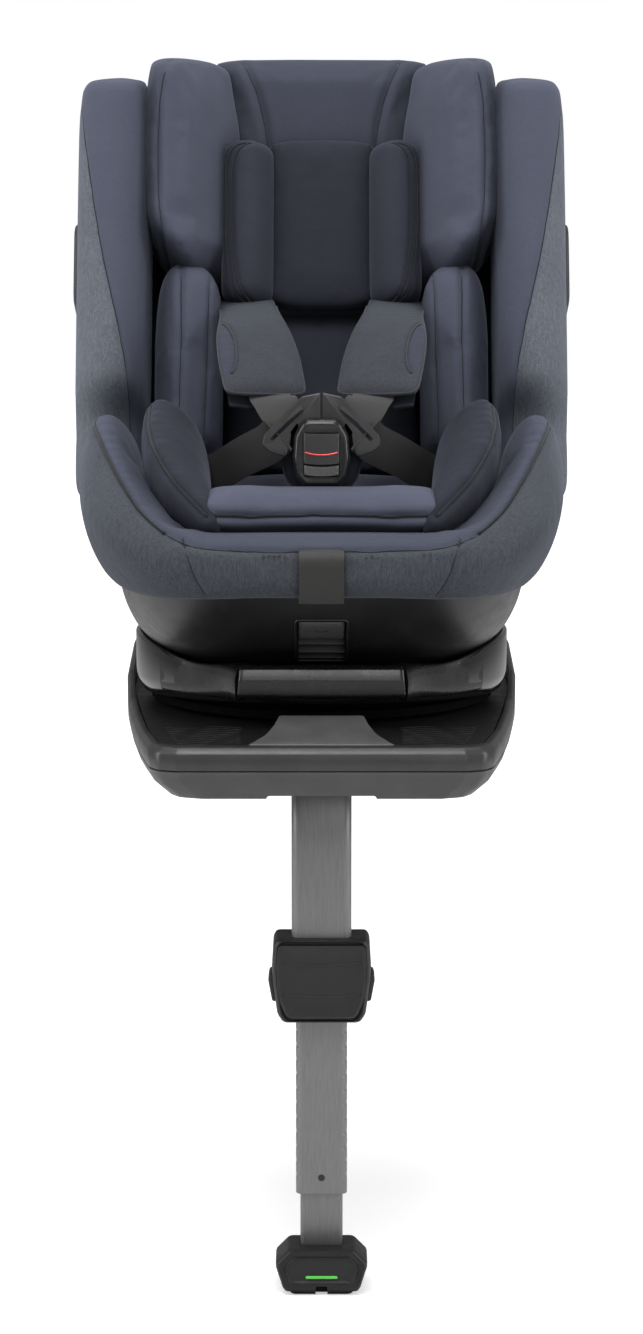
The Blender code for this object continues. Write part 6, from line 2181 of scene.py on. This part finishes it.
POD = rounded([(0.161, 0.032, 0.008), (0.24, 0.032, 0.01), (0.24, 0.076, 0.016),
               (0.161, 0.076, 0.014)], per=6)       # s, n, corner radius
POD_STATIONS = [        # x, scale
    (0.211, 0.99), (0.217, 1.0), (0.2195, 0.985), (0.2207, 0.945), (0.2212, 0.88), (0.2213, 0.8),
    (0.2209, 0.77), (0.2208, 0.3)]
for side, sign in SIDES:
    rings = stack(POD, (0.2005, 0.054), POD_STATIONS, lambda s, n, x: back_point(sign * x, s, n))
    pod = crease(loft("side_guard_" + side, rings, POD_BLACK), 55)
    place(pod, "pod_" + side, "black_plastic", "side_pod_" + side)


# ================================================================== CARRIED-OVER CAD NODES
def finish_node(name, mat, width=0.0006, segments=2):
    """Gives a CAD node a material, a weld and a bevel."""
    obj = NODES[name]
    obj.data.materials.clear()
    obj.data.materials.append(mat)
    weld = obj.modifiers.new("weld", "WELD")
    weld.merge_threshold = 0.00002
    edge = obj.modifiers.new("edge", "BEVEL")
    edge.width, edge.segments = width, segments
    edge.limit_method, edge.angle_limit = "ANGLE", math.radians(35)
    edge.use_clamp_overlap = True


finish_node("lower_bearing_race", CONN_BLACK, width=0.0004)
finish_node("leg_hinge_pin", STEEL, width=0.0008)
# near black: painted shade on the turntable plate
finish_node("turntable_plate", SHADOW_BLACK, width=0.0004)
finish_node("isofix_frame", STEEL, width=0.0012)
for side, _ in SIDES:
    finish_node("isofix_connector_" + side, CONN_BLACK, width=0.001, segments=3)
    finish_node("isofix_latch_" + side, STEEL, width=0.0005)
    finish_node("isofix_release_" + side, RED, width=0.0009, segments=3)
finish_node("headrest_lever", COLLAR_GREY)
finish_node("headrest_shell", FOAM_GREY, width=0.0012, segments=3)

# any other node still seen gets the collar's grey
FINISHES = {mat.name for mat in (STEEL, FOAM_GREY, CONN_BLACK, RED, COLLAR_GREY, SHADOW_BLACK)}
for name, obj in NODES.items():
    finished = any(mat and mat.name in FINISHES for mat in obj.data.materials)
    if not obj.hide_render and not finished:
        finish_node(name, COLLAR_GREY)


# ================================================================== STAGE
FLOOR_Z, FLOOR_R = -0.4322, 9.0


def make_floor():
    """Pale ground: glows to the camera, a plain diffuse surface to the light."""
    kit = Kit("studio_floor")
    shade = kit.ramp(kit.noise(scale=6.0, detail=2.0), (0.3, 0.8), (0.7, 0.84))
    rays = kit.node("ShaderNodeLightPath")
    distance = kit.node("ShaderNodeVectorMath", operation="LENGTH")
    kit.feed(distance.inputs[0], kit.place)
    glow = kit.ramp(kit.mul(distance.outputs["Value"], 0.2), (0.12, 0.45), (0.55, 1.0))
    return kit.set(color=shade, rough=0.75, spec=0.2, emit=(1.0, 1.0, 1.0),
                   emit_strength=kit.mul(rays.outputs["Is Camera Ray"], glow))


ring = [(FLOOR_R * math.cos(t), FLOOR_R * math.sin(t), FLOOR_Z) for t in turn(64)]
mesh_object("studio_floor", ring, [tuple(range(64))], make_floor())

LIGHT_ON_OBJECT, SEEN_BY_CAMERA = 0.24, 1.0     # strengths of the white world
world = bpy.data.worlds.new("studio")
SCENE.world = world
world.use_nodes = True
tree = world.node_tree
rays = tree.nodes.new("ShaderNodeLightPath")
strength = tree.nodes.new("ShaderNodeMix")
strength.data_type = "FLOAT"
strength.inputs[2].default_value = LIGHT_ON_OBJECT
strength.inputs[3].default_value = SEEN_BY_CAMERA
background = tree.nodes["Background"]
tree.links.new(rays.outputs["Is Camera Ray"], strength.inputs[0])
tree.links.new(strength.outputs[0], background.inputs["Strength"])
background.inputs["Color"].default_value = (1.0, 1.0, 1.0, 1.0)


def aim(obj, location, target):
    obj.location = location
    turned = (Vector(target) - Vector(location)).to_track_quat("-Z", "Y")
    obj.rotation_euler = turned.to_euler()


# name, place, target, width, height, watts
LIGHTS = [
    ("key", (-0.35, -1.5, 2.9), (0, 0, 0.25), 2.0, 1.4, 58),
    ("strip", (0.0, -1.75, 1.75), (0, -0.15, 0.15), 0.9, 0.26, 4),
    ("fill", (0.9, -3.0, 0.9), (0, 0, 0.1), 1.6, 1.2, 9),
    ("top", (0.0, 0.5, 2.9), (0, 0.05, 0.2), 2.2, 1.4, 40),
    ("side_left", (-2.0, -0.5, 0.8), (0, 0, 0.2), 0.8, 2.0, 22),
    ("side_right", (2.0, -0.5, 0.8), (0, 0, 0.2), 0.8, 2.0, 22),
]
for name, location, target, width, height, watts in LIGHTS:
    light = bpy.data.lights.new(name, "AREA")
    light.shape, light.size, light.size_y, light.energy = "RECTANGLE", width, height, watts
    lamp = link(bpy.data.objects.new(name, light))
    aim(lamp, location, target)

lens_data = bpy.data.cameras.new("photo_view")
lens_data.sensor_width = 36.0
lens_data.sensor_fit = "AUTO"
lens_data.lens = 97.93
camera = link(bpy.data.objects.new("photo_view", lens_data))
aim(camera, EYE, AIM)
SCENE.camera = camera
SCENE.view_settings.view_transform = "Standard"
SCENE.view_settings.look = "None"
SCENE.view_settings.exposure = 0.0
SCENE.view_settings.gamma = 1.0

# ---------------------------------------------------------------- final view layer update
bpy.context.view_layer.update()
